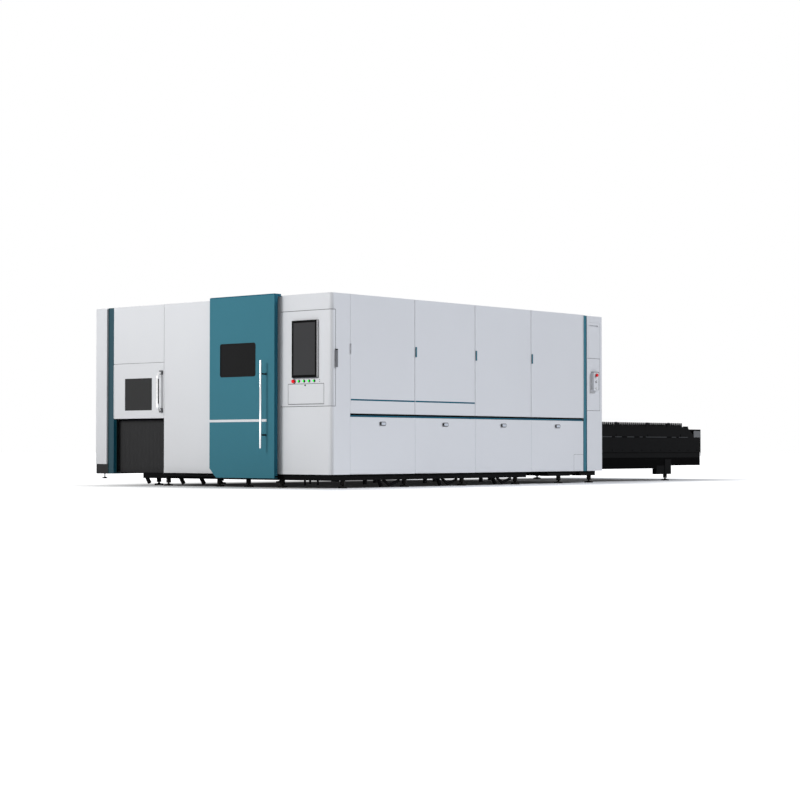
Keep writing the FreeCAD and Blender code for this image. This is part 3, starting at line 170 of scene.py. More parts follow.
def painted(name, color, roughness, level, grain=900, depth=0.00006):
    """Sprayed or powder-coated sheet: slow drift in tone, fine orange-peel texture."""
    material, tree = new_material(name, color, roughness, Specular_IOR_Level=level)
    feed(tree, "Base Color", tint(tree, color, spread(tree, noise(tree, 0.9), 0.97, 1.03)))
    feed(tree, "Roughness", spread(tree, noise(tree, 14, 3), *about(roughness, 0.05)))
    bump(tree, noise(tree, grain, 1), 0.35, depth)
    return material


def metal(name, color, roughness, stretch=(1, 1, 1), grain=60):
    """Bare or plated metal with streaks drawn out along one axis."""
    material, tree = new_material(name, color, roughness, Metallic=1.0)
    streak = noise(tree, grain, 4, stretch)
    feed(tree, "Base Color", tint(tree, color, spread(tree, streak, 0.86, 1.08)))
    feed(tree, "Roughness", spread(tree, streak, roughness * 0.8, roughness * 1.25))
    bump(tree, streak, 0.15, 0.0001)
    return material


def scorched(name, clean, burnt, roughness):
    """Mild steel that has been cut over: dark scale in patches and a rough surface."""
    material, tree = new_material(name, clean, roughness, Metallic=0.06, Specular_IOR_Level=0.06)
    scale = color_mix(tree, "MIX", clean)
    scale.inputs["B"].default_value = (*burnt, 1)
    patches = noise(tree, 45, 4, (1, 1, 0.4))
    tree.links.new(spread(tree, patches, 0, 1, 0.35, 0.6), scale.inputs["Factor"])
    feed(tree, "Base Color", scale.outputs["Result"])
    bump(tree, noise(tree, 160, 4), 0.5, 0.0005)
    return material


def moulded(name, color, roughness, level, **numbers):
    """Moulded plastic or rubber with a fine eroded grain."""
    material, tree = new_material(name, color, roughness, Specular_IOR_Level=level, **numbers)
    grain = noise(tree, 1500, 2)
    feed(tree, "Base Color", tint(tree, color, spread(tree, noise(tree, 20), 0.95, 1.05)))
    feed(tree, "Roughness", spread(tree, grain, *about(roughness, 0.06)))
    bump(tree, grain, 0.3, 0.00008)
    return material


POWDER_GRAIN, GLASS_GRAIN = (600, 0.0001), (8, 0.00002)
GREEN_COLOR = (0.0, 0.85, 0.03)

WHITE = painted("white_paint", (0.755, 0.765, 0.785), 0.42, 0.2)
PALE_SEAL = moulded("pale_seal", (0.75, 0.765, 0.79), 0.6, 0.1)
PALE_GRIP = painted("pale_grip_paint", (0.62, 0.66, 0.72), 0.42, 0.2)
TEAL = painted("teal_paint", (0.046, 0.186, 0.242), 0.45, 0.1)
# Dark teal: the paint of the belt lip, seals and thin lines; also painted shade on the sliding door's side
# and the strip's bevel, and painted light on the recess fold.
TEAL_DARK_AND_SHADING = painted("dark_teal_paint_and_painted_shading", (0.012, 0.110, 0.165), 0.45, 0.08)
TEAL_SHADE = painted("shaded_teal_paint", (0.007, 0.032, 0.038), 0.5, 0.05)
TEAL_GRIP = painted("grip_teal_paint", (0.020, 0.160, 0.225), 0.4, 0.15)
TEAL_STRIP = painted("strip_teal_paint", (0.038, 0.088, 0.112), 0.45, 0.08)
BLACK = painted("black_powder_coat", (0.0064, 0.0065, 0.0068), 0.6, 0.018, *POWDER_GRAIN)
# Near black: the seal in the control door's gaps, and painted shade on the table's skirt, along the recess,
# and in slots, vents and openings.
BLACK_AND_SHADE = painted("black_and_painted_shade", (0.0018, 0.0018, 0.0019), 0.7, 0.01, *POWDER_GRAIN)
DARK = painted("dark_grey_panel", (0.036, 0.036, 0.037), 0.6, 0.08)
GREY = painted("machine_grey_paint", (0.27, 0.29, 0.31), 0.45, 0.2)
PLATE_GREY = painted("plate_grey_paint", (0.14, 0.145, 0.15), 0.5, 0.15)
SILVER = painted("silver_paint", (0.74, 0.74, 0.745), 0.4, 0.3)
PULL_GREY = painted("pull_grey_paint", (0.17, 0.175, 0.185), 0.45, 0.15)
LIGHT_FILLER = painted("filler_grey_paint", (0.15, 0.16, 0.175), 0.5, 0.15)
MOUNT_GREY = painted("mount_grey_paint", (0.11, 0.11, 0.115), 0.35, 0.4)
LATCH_GREY = painted("latch_grey_paint", (0.10, 0.10, 0.105), 0.5, 0.15)
SEAM = moulded("grey_seal", (0.15, 0.15, 0.155), 0.6, 0.1)
SEAM_GREY = painted("seam_grey_paint", (0.055, 0.058, 0.062), 0.5, 0.08)
RUBBER = moulded("black_rubber", (0.012, 0.011, 0.010), 0.6, 0.08)
PANE = painted("tinted_safety_pane", (0.014, 0.014, 0.0145), 0.12, 0.05, *GLASS_GRAIN)
HATCH_PANE = painted("grey_safety_pane", (0.040, 0.040, 0.0405), 0.15, 0.06, *GLASS_GRAIN)
SCREEN = painted("screen_glass", (0.050, 0.050, 0.052), 0.2, 0.08, *GLASS_GRAIN)
RED = moulded("red_plastic", (0.95, 0.006, 0.010), 0.35, 0.2)
GREEN = moulded("green_plastic", GREEN_COLOR, 0.35, 0.2)
# Green lenses with an emission that brightens them: a painted glow.
GREEN_GLOW = moulded("green_lens_painted_glow", GREEN_COLOR, 0.3, 0.2,
                     Emission_Color=(0.0, 1.0, 0.05, 1), Emission_Strength=0.55)
PLASTIC = moulded("black_plastic", (0.010, 0.010, 0.011), 0.45, 0.15)
CHROME = metal("chrome", (0.86, 0.865, 0.87), 0.14)
STEEL = metal("bare_steel", (0.42, 0.42, 0.43), 0.38, (1, 0.05, 1), 120)
SCORCHED = scorched("scorched_slat", (0.018, 0.0175, 0.017), (0.008, 0.0075, 0.007), 0.7)
ALUMINIUM = metal("cast_aluminium", (0.66, 0.67, 0.68), 0.35)
COPPER = metal("copper_nozzle", (0.80, 0.38, 0.18), 0.25)

SLOT_MATERIALS = {
    "white_panel": WHITE, "teal_paint": TEAL, "black_frame": BLACK, "dark_panel": DARK,
    "safety_pane": PANE, "polished_bar": CHROME, "bare_steel": STEEL, "machine_grey": GREY,
    "cast_aluminium": ALUMINIUM, "red_button": RED, "green_button": GREEN,
}
OWN_MATERIALS = {
    "hatch_window": HATCH_PANE, "slag_tray": SCORCHED, "left_strip": TEAL_STRIP,
    "side_cabinet_base": DARK, "end_plates": PLATE_GREY,
}


def soften(item, width):
    """Round the hard edges of a piece a little."""
    bevel = item.modifiers.new("soft_edges", "BEVEL")
    bevel.width = width / 1000
    bevel.segments = 2
    bevel.limit_method = "ANGLE"
    bevel.angle_limit = SHARP_ANGLE
    bevel.harden_normals = True


def dress_nodes():
    """Give every solid its material, and soften the edges of folded sheet."""
    for part in frame["record"]["subparts"]:
        node = frame["nodes"][part["node"]]
        material = OWN_MATERIALS.get(part["node"], SLOT_MATERIALS[part["material_slot"]])
        node.data.materials.clear()
        node.data.materials.append(material)
        weld = node.modifiers.new("weld", "WELD")
        weld.merge_threshold = 0.00001
        soften(node, 1.5)


dress_nodes()


# -------- building pieces

def into_scene(name, data):
    """Put a mesh, lamp or camera into the scene as an object."""
    item = bpy.data.objects.new(name, data)
    bpy.context.scene.collection.objects.link(item)
    return item


def circle(middle, line, radius, sides, across=None):
    """Places round a circle that stands square to a line."""
    across = across or line.orthogonal().normalized()
    other = line.cross(across)
    turns = spaced(0, 2 * math.pi / sides, sides)
    return [middle + (across * math.cos(turn) + other * math.sin(turn)) * radius for turn in turns]


class Form:
    """The shapes of one piece, gathered in millimetres from the corner."""

    def __init__(self):
        self.mesh = bmesh.new()

    def slab(self, xs, ys, zs):
        """Add a block between two places on each axis."""
        ring = [(xs[0], ys[0], zs[0]), (xs[1], ys[0], zs[0]), (xs[1], ys[1], zs[0]), (xs[0], ys[1], zs[0])]
        return self.prism(ring, (0, 0, zs[1] - zs[0]))

    def prism(self, ring, depth):
        """Add a flat outline carried along a straight line."""
        return self.loft([ring, [Vector(spot) + Vector(depth) for spot in ring]])

    def loft(self, rings, closed=False):
        """Join rings of equally many places one after another, and cap the ends."""
        rows = [[self.mesh.verts.new(Vector(spot)) for spot in ring] for ring in rings]
        pairs = list(zip(rows, rows[1:])) + ([(rows[-1], rows[0])] if closed else [])
        count = len(rows[0])
        for low, high in pairs:
            for index in range(count):
                after = (index + 1) % count
                self.mesh.faces.new((low[index], high[index], high[after], low[after]))
        if not closed:
            self.mesh.faces.new(rows[0])
            self.mesh.faces.new(rows[-1][::-1])
        return self

    def turned(self, start, axis, profile, sides=32, closed=False):
        """Turn a profile of (distance along, radius) about a line through a place."""
        start, line = Vector(start), Vector(axis).normalized()
        rings = [circle(start + line * along, line, radius, sides) for along, radius in profile]
        return self.loft(rings, closed)

    def collar(self, place, axis, outer, inner, length, sides=40):
        """Add a short round collar with an open middle."""
        profile = ((0, outer), (length - 1, outer), (length, outer - 1),
                   (length, inner + 0.6), (length - 0.6, inner), (0, inner))
        return self.turned(place, axis, profile, sides, closed=True)

    def bolt(self, place, axis, radius, height):
        """Add a hexagon head on a washer."""
        self.turned(place, axis, [(0, radius * 1.5), (1, radius * 1.5)], 16)
        head = Vector(place) + Vector(axis).normalized()
        return self.turned(head, axis, [(0, radius), (height - 1, radius), (height, radius * 0.85)], 6)

    def frame_ring(self, outer, inner, depth):
        """Add a flat frame between two outlines of equally many places."""
        shift = Vector(depth)
        back = [Vector(spot) + shift for spot in outer], [Vector(spot) + shift for spot in inner]
        return self.loft([outer, inner, back[1], back[0]], closed=True)

    def piece(self, name, body, slot, material, edge=0.8):
        """Make the piece, give it its material and let it ride on a body."""
        bmesh.ops.recalc_face_normals(self.mesh, faces=self.mesh.faces)
        for corner in self.mesh.verts:
            corner.co = at(*corner.co)
        mesh = bpy.data.meshes.new(name)
        self.mesh.to_mesh(mesh)
        self.mesh.free()
        mesh.shade_smooth()
        mesh.set_sharp_from_angle(angle=SHARP_ANGLE)
        item = into_scene(name, mesh)
        mesh.materials.append(material)
        if edge:
            soften(item, edge)
        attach(item, body)
        return item


def rounded(xs, zs, radius, y):
    """Outline of a rounded rectangle that faces front, as places at one depth."""
    spots = []
    (left, right), (foot, top) = inset((xs, zs), radius)
    for quarter, (x, z) in enumerate(((right, top), (left, top), (left, foot), (right, foot))):
        for step in range(7):
            turn = math.pi / 2 * (quarter + step / 6)
            spots.append((x + radius * math.cos(turn), y, z + radius * math.sin(turn)))
    return spots


def window_frame(spans, outer, inner, front, depth):
    """Flat frame between two rounded outlines, each given as (inset, corner radius)."""
    lines = [rounded(*inset(spans, amount), radius, front) for amount, radius in (outer, inner)]
    return Form().frame_ring(*lines, (0, depth, 0))


def sideways(spots, x):
    """Turn places that face front so that they face right, at one distance."""
    return [(x, spot[0], spot[2]) for spot in spots]


def teeth(first, count, pitch, profile):
    """Places (along, height) of a toothed edge, from its far end to its start."""
    return [(first + index * pitch - pitch * share, height)
            for index in range(count, 0, -1) for share, height in profile]


# -------- feet, slats and tubes that stand for solids

FOOT_ROWS = (
    [(x, y, 85) for x in (-52.5, -3039.5) for y in spaced(242, 1033, 4)]
    + [(x, y, 93) for x in (-80, -3590) for y in (4268, 4927)]
    + [(x, 52.5, 85) for x in (-2660, -1797, -1324, -787)]
    + [(x, 6980, 85) for x in (-260, -2440)]
)
FOOT_PAD = ((0, 52), (2, 54), (14, 54), (18, 48), (19, 30), (22, 19), (25, 15))
SMALL_FOOT_X, SMALL_PAD = -3815.5, ((0, 32), (3, 35), (11, 35), (15, 22), (20, 12))
THREAD_PITCH = 2.5


def thread(form, x, y, low, high, radius):
    """Upright threaded stem: ridges one above another."""
    profile = [(0, radius - 1)]
    for turn in range(int((high - low) / THREAD_PITCH)):
        profile += [((turn + 0.5) * THREAD_PITCH, radius), ((turn + 1) * THREAD_PITCH, radius - 1)]
    form.turned((x, y, low), UP, profile, 16)


def levelling_feet():
    """Round levelling feet with a ball joint, a threaded stem and a long nut."""
    form = Form()
    for x, y, top in FOOT_ROWS:
        form.turned((x, y, 0), UP, FOOT_PAD, 40)
        thread(form, x, y, 24, 37, 12)
        form.turned((x, y, 36), UP, [(0, 24), (2, 28), (top - 40, 28), (top - 36, 26)], 6)
    for y in (60, 1140):
        form.turned((SMALL_FOOT_X, y, 72), UP, SMALL_PAD)
        thread(form, SMALL_FOOT_X, y, 91, 131, 8)
    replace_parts(form.piece("levelling_feet_round", "machine", "black_frame", RUBBER), "levelling_feet")


UPPER_START, LOWER_START = 4700, 1100
SLAT_COUNT, SLAT_SPAN, SLAT_SHEET = 30, 2980, 5
TOOTH_PITCH, TOOTH_DEPTH, TOOTH_WEAR = 33, 40, 12


def slats(name, node, body, start):
    """Row of toothed slats, whose teeth are worn flat along the top."""
    low, high = limits(node)
    form = Form()
    count = int((high.x - low.x) / TOOTH_PITCH)
    pitch = (high.x - low.x) / count
    root, tip = high.z - TOOTH_DEPTH, high.z - TOOTH_WEAR
    edge = [(high.x, root)] + teeth(low.x, count, pitch, ((0.35, tip), (0.65, tip), (1, root)))
    for index in range(SLAT_COUNT):
        y = start + 60 + (index + 0.5) * SLAT_SPAN / SLAT_COUNT
        ring = [(low.x, y, low.z), (high.x, y, low.z)] + [(x, y, z) for x, z in edge]
        form.prism(ring, (0, SLAT_SHEET, 0))
    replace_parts(form.piece(name, body, "bare_steel", SCORCHED, edge=0), node)


BOW_X, BOW_LOW, BOW_HIGH = -2725, 885, 1330
BOW_REACH, BOW_DEPTH, BOW_BEND, BOW_RADIUS = 70, 60, 76, 17.5
BOW_STEPS, BOW_SIDES = 12, 24


def bow_handle():
    """Bright tube handle of the hatch door, bent out and back between two dark mounts, with a black strip
    down its right side as painted shade.
    """
    path = [(0, BOW_LOW)]
    for low, first in ((BOW_LOW + BOW_BEND, 270), (BOW_HIGH - BOW_BEND, 180)):
        for step in range(BOW_STEPS + 1):
            turn = math.radians(first - 90 * step / BOW_STEPS)
            path.append((BOW_DEPTH * math.cos(turn) + BOW_DEPTH - BOW_REACH, low + BOW_BEND * math.sin(turn)))
    path.append((0, BOW_HIGH))
    rings = []
    for index, (y, z) in enumerate(path):
        before, after = path[max(index - 1, 0)], path[min(index + 1, len(path) - 1)]
        along = Vector((0, after[0] - before[0], after[1] - before[1])).normalized()
        rings.append(circle(Vector((BOW_X, y, z)), along, BOW_RADIUS, BOW_SIDES, Vector(RIGHT)))
    tube = Form().loft(rings).piece("bow_handle_tube", "hatch_door", "polished_bar", CHROME, 0)
    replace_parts(tube, "hatch_handle")
    mounts = Form()
    for z in (BOW_LOW, BOW_HIGH):
        spans = about(BOW_X, 21), about(z, 25)
        mounts.loft([rounded(*spans, 4, 0.5), rounded(*spans, 4, -27), rounded(*inset(spans, 2), 4, -30)])
    mounts.piece("bow_handle_mounts", "hatch_door", "black_frame", MOUNT_GREY)
    # The black strip along the straight part of the tube's right side is painted shade.
    straight = BOW_LOW + BOW_BEND, BOW_HIGH - BOW_BEND
    shade_strip = Form().slab((BOW_X + 14, BOW_X + 18.5), about(-BOW_REACH, 8), straight)
    shade_strip.piece("bow_handle_painted_shade", "hatch_door", "black_frame", PLASTIC, 1.5)


levelling_feet()
slats("upper_slats_toothed", "upper_slats", "upper_pallet", UPPER_START)
slats("lower_slats_toothed", "lower_slats", "lower_pallet", LOWER_START)
bow_handle()


# -------- sliding door and front

WALL_X, BACK_Y, ROOF_Z = -3687, 5110, 2139
DOOR_LEFT, DOOR_RIGHT, DOOR_FRONT, DOOR_TOP = -1800, -764, -106, 2155
DOOR_WINDOW = (-1628, -1057), (1242, 1621)
STRIPE_ZS, STRIPE_END = (734, 762), -883
BAR_X, BAR_POSTS = -895, (586, 1263)
GUIDE_TOP, GUIDE_FRONT = 136, -92
RECESS_ZS, RECESS_FACE = (151, 786), (38.1, 39.4)
STRIP_ZS = (133, 2134)


def sliding_door_trim():
    """Window lip and gasket, painted stripe, and dark teal on the right side and top edge of the sliding
    door.
    """
    lip = window_frame(DOOR_WINDOW, (-1, 17), (0.6, 27), DOOR_FRONT - 0.7, 3)
    lip.piece("sliding_door_window_lip", "sliding_door", "teal_paint", TEAL, 0)
    gasket = window_frame(DOOR_WINDOW, (0.6, 27), (9, 19), DOOR_FRONT - 3, 5.5)
    gasket.piece("sliding_door_gasket", "sliding_door", "dark_panel", RUBBER, 0.6)
    stripe = Form().slab((DOOR_LEFT + 0.5, STRIPE_END), (DOOR_FRONT - 1, DOOR_FRONT + 0.5), STRIPE_ZS)
    stripe.piece("sliding_door_stripe", "sliding_door", "white_panel", WHITE, 0.3)
    # Dark teal over the door's right side face is painted shade; a dark teal band also runs along the top of
    # its front.
    cover, side = Form(), (DOOR_RIGHT - 0.5, DOOR_RIGHT + 2)
    cover.slab(side, (DOOR_FRONT + 2, -55), (GUIDE_TOP, DOOR_TOP - 3))
    cover.slab(side, (DOOR_FRONT + 2, GUIDE_FRONT), (107, GUIDE_TOP))
    cover.slab((DOOR_RIGHT - 0.5, DOOR_RIGHT + 1), (DOOR_FRONT + 2, -1), (DOOR_TOP - 30, DOOR_TOP - 1))
    cover.slab((DOOR_LEFT + 18, DOOR_RIGHT), (DOOR_FRONT - 0.8, DOOR_FRONT + 0.5),
               (DOOR_TOP - 12, DOOR_TOP - 0.4))
    cover.piece("sliding_door_side_shade_and_band", "sliding_door", "teal_paint", TEAL_DARK_AND_SHADING, 0.3)


def left_front_trim():
    """Painted shade on the edge of the slim left strip, cover beside the cabinet, painted light on the
    recess's fold, painted shade on its flange and a painted shadow along its left and top sides.
    """
    # Shaded teal on the strip's front edge and left face is painted shade.
    edge = Form().slab((WALL_X - 0.4, -3671), (-0.6, 6), STRIP_ZS)
    edge.slab((WALL_X - 0.6, WALL_X + 0.4), (0, 109), STRIP_ZS)
    edge.piece("left_strip_painted_shade", "machine", "teal_paint", TEAL_SHADE, 0.3)
    filler = Form().slab((-3716.6, -3697), (12.9, 14.4), (250, 2126))
    filler.piece("cabinet_filler_cover", "machine", "machine_grey", LIGHT_FILLER, 0.3)
    # The fold gets a brighter teal than the strip: painted light on its shaded face.
    fold = Form().slab((-3587.2, -3586.3), (1, 38.7), RECESS_ZS)
    fold.piece("recess_fold_painted_light", "machine", "teal_paint", TEAL_DARK_AND_SHADING, 0.2)
    # The front-facing flange gets shaded teal: painted shade.
    flange = Form().slab((-3586.1, -3573), (38, 39.3), RECESS_ZS)
    flange.piece("recess_flange_painted_shade", "machine", "teal_paint", TEAL_SHADE, 0.2)
    # Near-black strips along the recess's left and top sides are a painted shadow.
    gasket = Form().slab((-3572.6, -3546), RECESS_FACE, RECESS_ZS)
    gasket.slab((-3572.6, -2691.5), RECESS_FACE, (770, 786))
    gasket.piece("recess_painted_shadow", "machine", "dark_panel", BLACK_AND_SHADE, 0.3)


def bar_sleeves():
    """Dark sleeves on the posts that carry the long bar handle."""
    sleeves = Form()
    for z in BAR_POSTS:
        sleeves.turned((BAR_X, DOOR_FRONT - 0.2, z), FRONT, [(0, 12), (3, 12), (4, 9), (80, 9)], 28)
    sleeves.piece("bar_post_sleeves", "sliding_door", "black_frame", PLASTIC, 0)


sliding_door_trim()
left_front_trim()
bar_sleeves()


# -------- seals and seams of the enclosure

CORNER_RADIUS = 45
CONTROL_LEFT, CONTROL_BACK, CONTROL_ZS = -763.5, 69.6, (900, 1950)
TRAY_XS, TRAY_ZS = (-651, -112), (925, 1145)
SKIN_ZS = (152, 785), (822, 2111)


def corner_path(depth):
    """Line round the near front corner, some way in from the outer faces."""
    radius = CORNER_RADIUS - depth
    path = [(CONTROL_LEFT, depth)]
    for step in range(9):
        turn = math.radians(-90 + 90 * step / 8)
        path.append((-CORNER_RADIUS + radius * math.cos(turn), CORNER_RADIUS + radius * math.sin(turn)))
    return path + [(-depth, CONTROL_BACK)]


def seals():
    """Rubber in the gaps round the control door and the tray, pale strips elsewhere."""
    door = Form()
    for low, high in ((895.3, 899.7), (1950.3, 1954.7)):
        door.loft([[(x, y, low), (x, y, high), (back_x, back_y, high), (back_x, back_y, low)]
                   for (x, y), (back_x, back_y) in zip(corner_path(1), corner_path(9))])
    door.slab((-763.6, -759.4), (1, 9.5), CONTROL_ZS)
    door.slab((-9.5, -1), (65.4, CONTROL_BACK), CONTROL_ZS)
    door.piece("control_door_seal", "machine", "dark_panel", BLACK_AND_SHADE, 0)
    tray = Form().slab((-651, -649.2), (2, 8), TRAY_ZS).slab((-113.8, -112), (2, 8), TRAY_ZS)
    tray.slab(TRAY_XS, (2, 8), (1143.2, 1145)).slab(TRAY_XS, (9, 14), (923, 926))
    tray.piece("keyboard_tray_seal", "control_door", "dark_panel", SEAM, 0)
    lip = window_frame(((-655, -108), (919, 1149)), (0, 5), (3.5, 2), -0.7, 0.9)
    lip.piece("keyboard_tray_lip", "control_door", "dark_panel", SEAM, 0)
    front = Form().slab((-3586.4, -2691), (3, 9), (1450.3, 1453.7))
    front.slab((-2690.7, -2687.3), (3, 9), (787.5, 2134))
    front.piece("front_seams", "machine", "machine_grey", SEAM, 0)
    side = Form()
    for ys in ((303.6, 304.4), about(1400, 4.4), about(2500, 4.4), about(3600, 4.4)):
        for zs in SKIN_ZS:
            side.slab((-15, -1.2), ys, zs)
    side.piece("side_seams", "machine", "white_panel", PALE_SEAL, 0)
    end = Form()
    for zs in SKIN_ZS:
        end.slab((-15, -2.5), (4695.6, 4704.6), zs)
    end.piece("side_strip_seal", "machine", "teal_paint", TEAL_DARK_AND_SHADING, 0)


seals()


# -------- control door

SCREEN_XS, SCREEN_ZS, SCREEN_FRONT, SCREEN_RIM = (-571, -192), (1216, 1844), -30, 26
BUTTON_ROW, BUTTON_FRONT = 1177, -9
BUTTONS = (-484, -407, -330, -253)
STOP_X, SCREW_X, LATCH_X = -560, -175, -391


def screen():
    """Glass, bright side cover and gasket of the portrait screen, and a grey strip under it as painted
    shadow.
    """
    (left, right), (foot, top) = SCREEN_XS, SCREEN_ZS
    glass = rounded(*inset((SCREEN_XS, SCREEN_ZS), SCREEN_RIM + 0.4), 3, SCREEN_FRONT + 1.2)
    Form().prism(glass, (0, 1.7, 0)).piece("screen_glass", "control_door", "safety_pane", SCREEN, 0.4)
    side = Form().slab((right + 0.1, right + 1.6), (SCREEN_FRONT + 1.5, -1), (foot + 3, top - 3))
    side.piece("screen_side_cover", "control_door", "machine_grey", SILVER, 0.5)
    gasket = Form().slab((right + 1.5, right + 2.2), (-12, -9), (foot + 6, top - 6))
    gasket.slab((left - 2, right + 2.4), (-2.4, -0.3), (foot - 2.5, foot - 0.2))
    gasket.slab((right + 0.2, right + 3), (-2.4, -0.3), (foot - 2.5, top + 2))
    gasket.piece("screen_gasket", "control_door", "dark_panel", RUBBER, 0.3)
    # The grey strip under the screen is a painted shadow.
    lip = Form().slab((left + 2, right - 2), (-16, -0.3), (foot - 9, foot - 0.3))
    lip.piece("screen_painted_shadow", "control_door", "machine_grey", LIGHT_FILLER, 1)


def control_buttons():
    """Collars, barrels and lenses of the buttons, the stop's cap, two screws and the tray latch."""
    collars = Form()
    for x in BUTTONS:
        collars.collar((x, 0, BUTTON_ROW), FRONT, 15.5, 11.7, 7.5)
    collars.collar((STOP_X, 0, BUTTON_ROW), FRONT, 24.5, 21, 3.5)
    collars.piece("button_collars", "control_door", "black_frame", PLASTIC, 0)
    barrel_profile = [(0, 11.3), (7.5, 11.3), (8.2, 10.8)]
    lens_profile = [(0, 10.6), (1.4, 10.2), (2.2, 8), (2.7, 4)]
    for index, x in enumerate(BUTTONS, 1):
        barrel = Form().turned((x, BUTTON_FRONT + 2, BUTTON_ROW), FRONT, barrel_profile)
        barrel.piece(f"button_barrel_{index}", f"push_button_{index}", "black_frame", PLASTIC, 0)
        lens = Form().turned((x, BUTTON_FRONT - 6.3, BUTTON_ROW), FRONT, lens_profile)
        lens.piece(f"button_lens_{index}", f"push_button_{index}", "green_button", GREEN_GLOW, 0)
    profile = [(0, 19.4), (2, 20), (7, 20), (11, 18.6), (14, 15.5), (16, 11), (17, 5)]
    stop = Form().turned((STOP_X, BUTTON_FRONT - 0.2, BUTTON_ROW), FRONT, profile, 48)
    stop.piece("control_stop_cap", "control_stop", "red_button", RED, 0)
    screws = Form()
    for z in (1168, 1190):
        screws.turned((SCREW_X, 0, z), FRONT, [(0, 4.5), (1.2, 4.5), (2, 3.4)], 20)
        screws.slab(about(SCREW_X, 3), (-2.4, -1.8), about(z, 0.5))
    screws.piece("control_screws", "control_door", "dark_panel", PLASTIC, 0)
    latch = Form().turned((LATCH_X, 0, 1130), FRONT, [(0, 9), (1.5, 9), (2.5, 7.5), (5.5, 7.5), (6.5, 6.5)])
    latch.slab(about(LATCH_X, 2), (-9, -6), about(1130, 8))
    latch.piece("tray_latch", "keyboard_tray", "dark_panel", PLASTIC, 0.4)


KEY_PITCH, KEY_SIZE, KEY_HEIGHT = 19, 16.4, 3.6
KEY_ROWS = ((0, 23), (0.5, 22), (0.75, 22), (1.25, 21))
SPACE_ROW = ((0, 1.25), (1.25, 1.25), (2.5, 1.25), (3.75, 6.25), (10, 1.25), (11.25, 1.25), (14, 1),
             (15, 1), (16, 1), (18, 2), (20, 1), (21, 1), (22, 1))


def keyboard():
    """Blank keys on the inner face of the tray, in the staggered rows of a keyboard."""
    keys = Form()
    low, high = limits("keyboard_tray")
    face = high.y - 4
    rows = [[(shift + column, 1) for column in range(count)] for shift, count in KEY_ROWS] + [SPACE_ROW]
    for index, spans in enumerate(rows):
        z = low.z + 52 + (len(rows) - 1 - index) * KEY_PITCH
        for start, width in spans:
            x = low.x + 50 + start * KEY_PITCH
            right, top = x + width * KEY_PITCH - (KEY_PITCH - KEY_SIZE), z + KEY_SIZE
            foot = [(x, z), (right, z), (right, top), (x, top)]
            cap = [(x + 2, z + 2), (right - 2, z + 2), (right - 2, top - 1), (x + 2, top - 1)]
            keys.loft([[(a, y, c) for a, c in ring] for ring, y in ((foot, face), (cap, face + KEY_HEIGHT))])
    keys.piece("keyboard_keys", "keyboard_tray", "dark_panel", PLASTIC, 0)


def pull_cover():
    """Grey cover on the control door's pull, with a dark cap at its upper end."""
    cover = Form().slab((0.4, 14.8), (58.4, 91.6), (1322, 1506))
    cover.piece("control_pull_cover", "control_door", "machine_grey", PULL_GREY, 1.2)
    cap = Form().slab((0.4, 15.2), (58.6, 92), (1506.2, 1521))
    cap.piece("control_pull_cap", "control_door", "black_frame", PLASTIC, 1.5)


screen()
control_buttons()
keyboard()
pull_cover()


# -------- long side

SIDE_STARTS = spaced(305, 1100, 4)
GRIP_ZS = (1477.2, 1592.8)
LINE_YS, LINE_ZS = ((315, 1394.6), (1405.4, 2490)), (964, 981)
LATCH_AHEAD, LATCH_Z = 535, 713


def side_door_trim():
    """Grip, latch and the thin painted line on each door and flap of the long side."""
    for index, start in enumerate(SIDE_STARTS, 1):
        near, far = start + 1.3, start + 16.7
        ring = [(-0.5, near), (13, near), (14.8, near + 2.2), (14.8, far - 2.2), (13, far), (-0.5, far)]
        low, high = GRIP_ZS
        grip = Form().prism([(x, y, low) for x, y in ring], (0, 0, high - low))
        material = WHITE if index == 1 else TEAL_GRIP
        grip.piece(f"side_grip_{index}", f"side_door_{index}", "teal_paint", material, 1)
        flap_latch(index, start + LATCH_AHEAD)
    for index, ys in enumerate(LINE_YS, 1):
        line = Form().slab((0.05, 0.7), ys, LINE_ZS)
        line.piece(f"side_line_{index}", f"side_door_{index}", "teal_paint", TEAL_DARK_AND_SHADING, 0)


def flap_latch(index, middle):
    """Paddle latch: dark rounded frame, pale paddle and a round lock."""
    body = f"side_flap_{index}"
    (near, far), (low, high) = ys, zs = about(middle, 55), about(LATCH_Z, 23)
    outer = sideways(rounded(ys, zs, 16, 0), 4.6)
    inner = sideways(rounded((near + 34, far - 5), (low + 8, high - 8), 7, 0), 4.6)
    rim = Form().frame_ring(outer, inner, (1.6, 0, 0))
    rim.piece(f"flap_latch_frame_{index}", body, "dark_panel", LATCH_GREY, 0.5)
    shape = rounded((near + 36, far - 7), (low + 10, high - 10), 6, 0)
    paddle = Form().prism(sideways(shape, 5.05), (0.8, 0, 0))
    paddle.piece(f"flap_latch_paddle_{index}", body, "machine_grey", PALE_GRIP, 0.4)
    lock = Form().turned((5, middle - 38, LATCH_Z), RIGHT, [(0, 11), (2.2, 11), (3, 10)], 28)
    lock.slab((7.6, 8.6), about(middle - 38, 1), about(LATCH_Z, 6))
    lock.piece(f"flap_latch_lock_{index}", body, "black_frame", PLASTIC, 0)


SEAM_XS = (-0.3, 0.4)


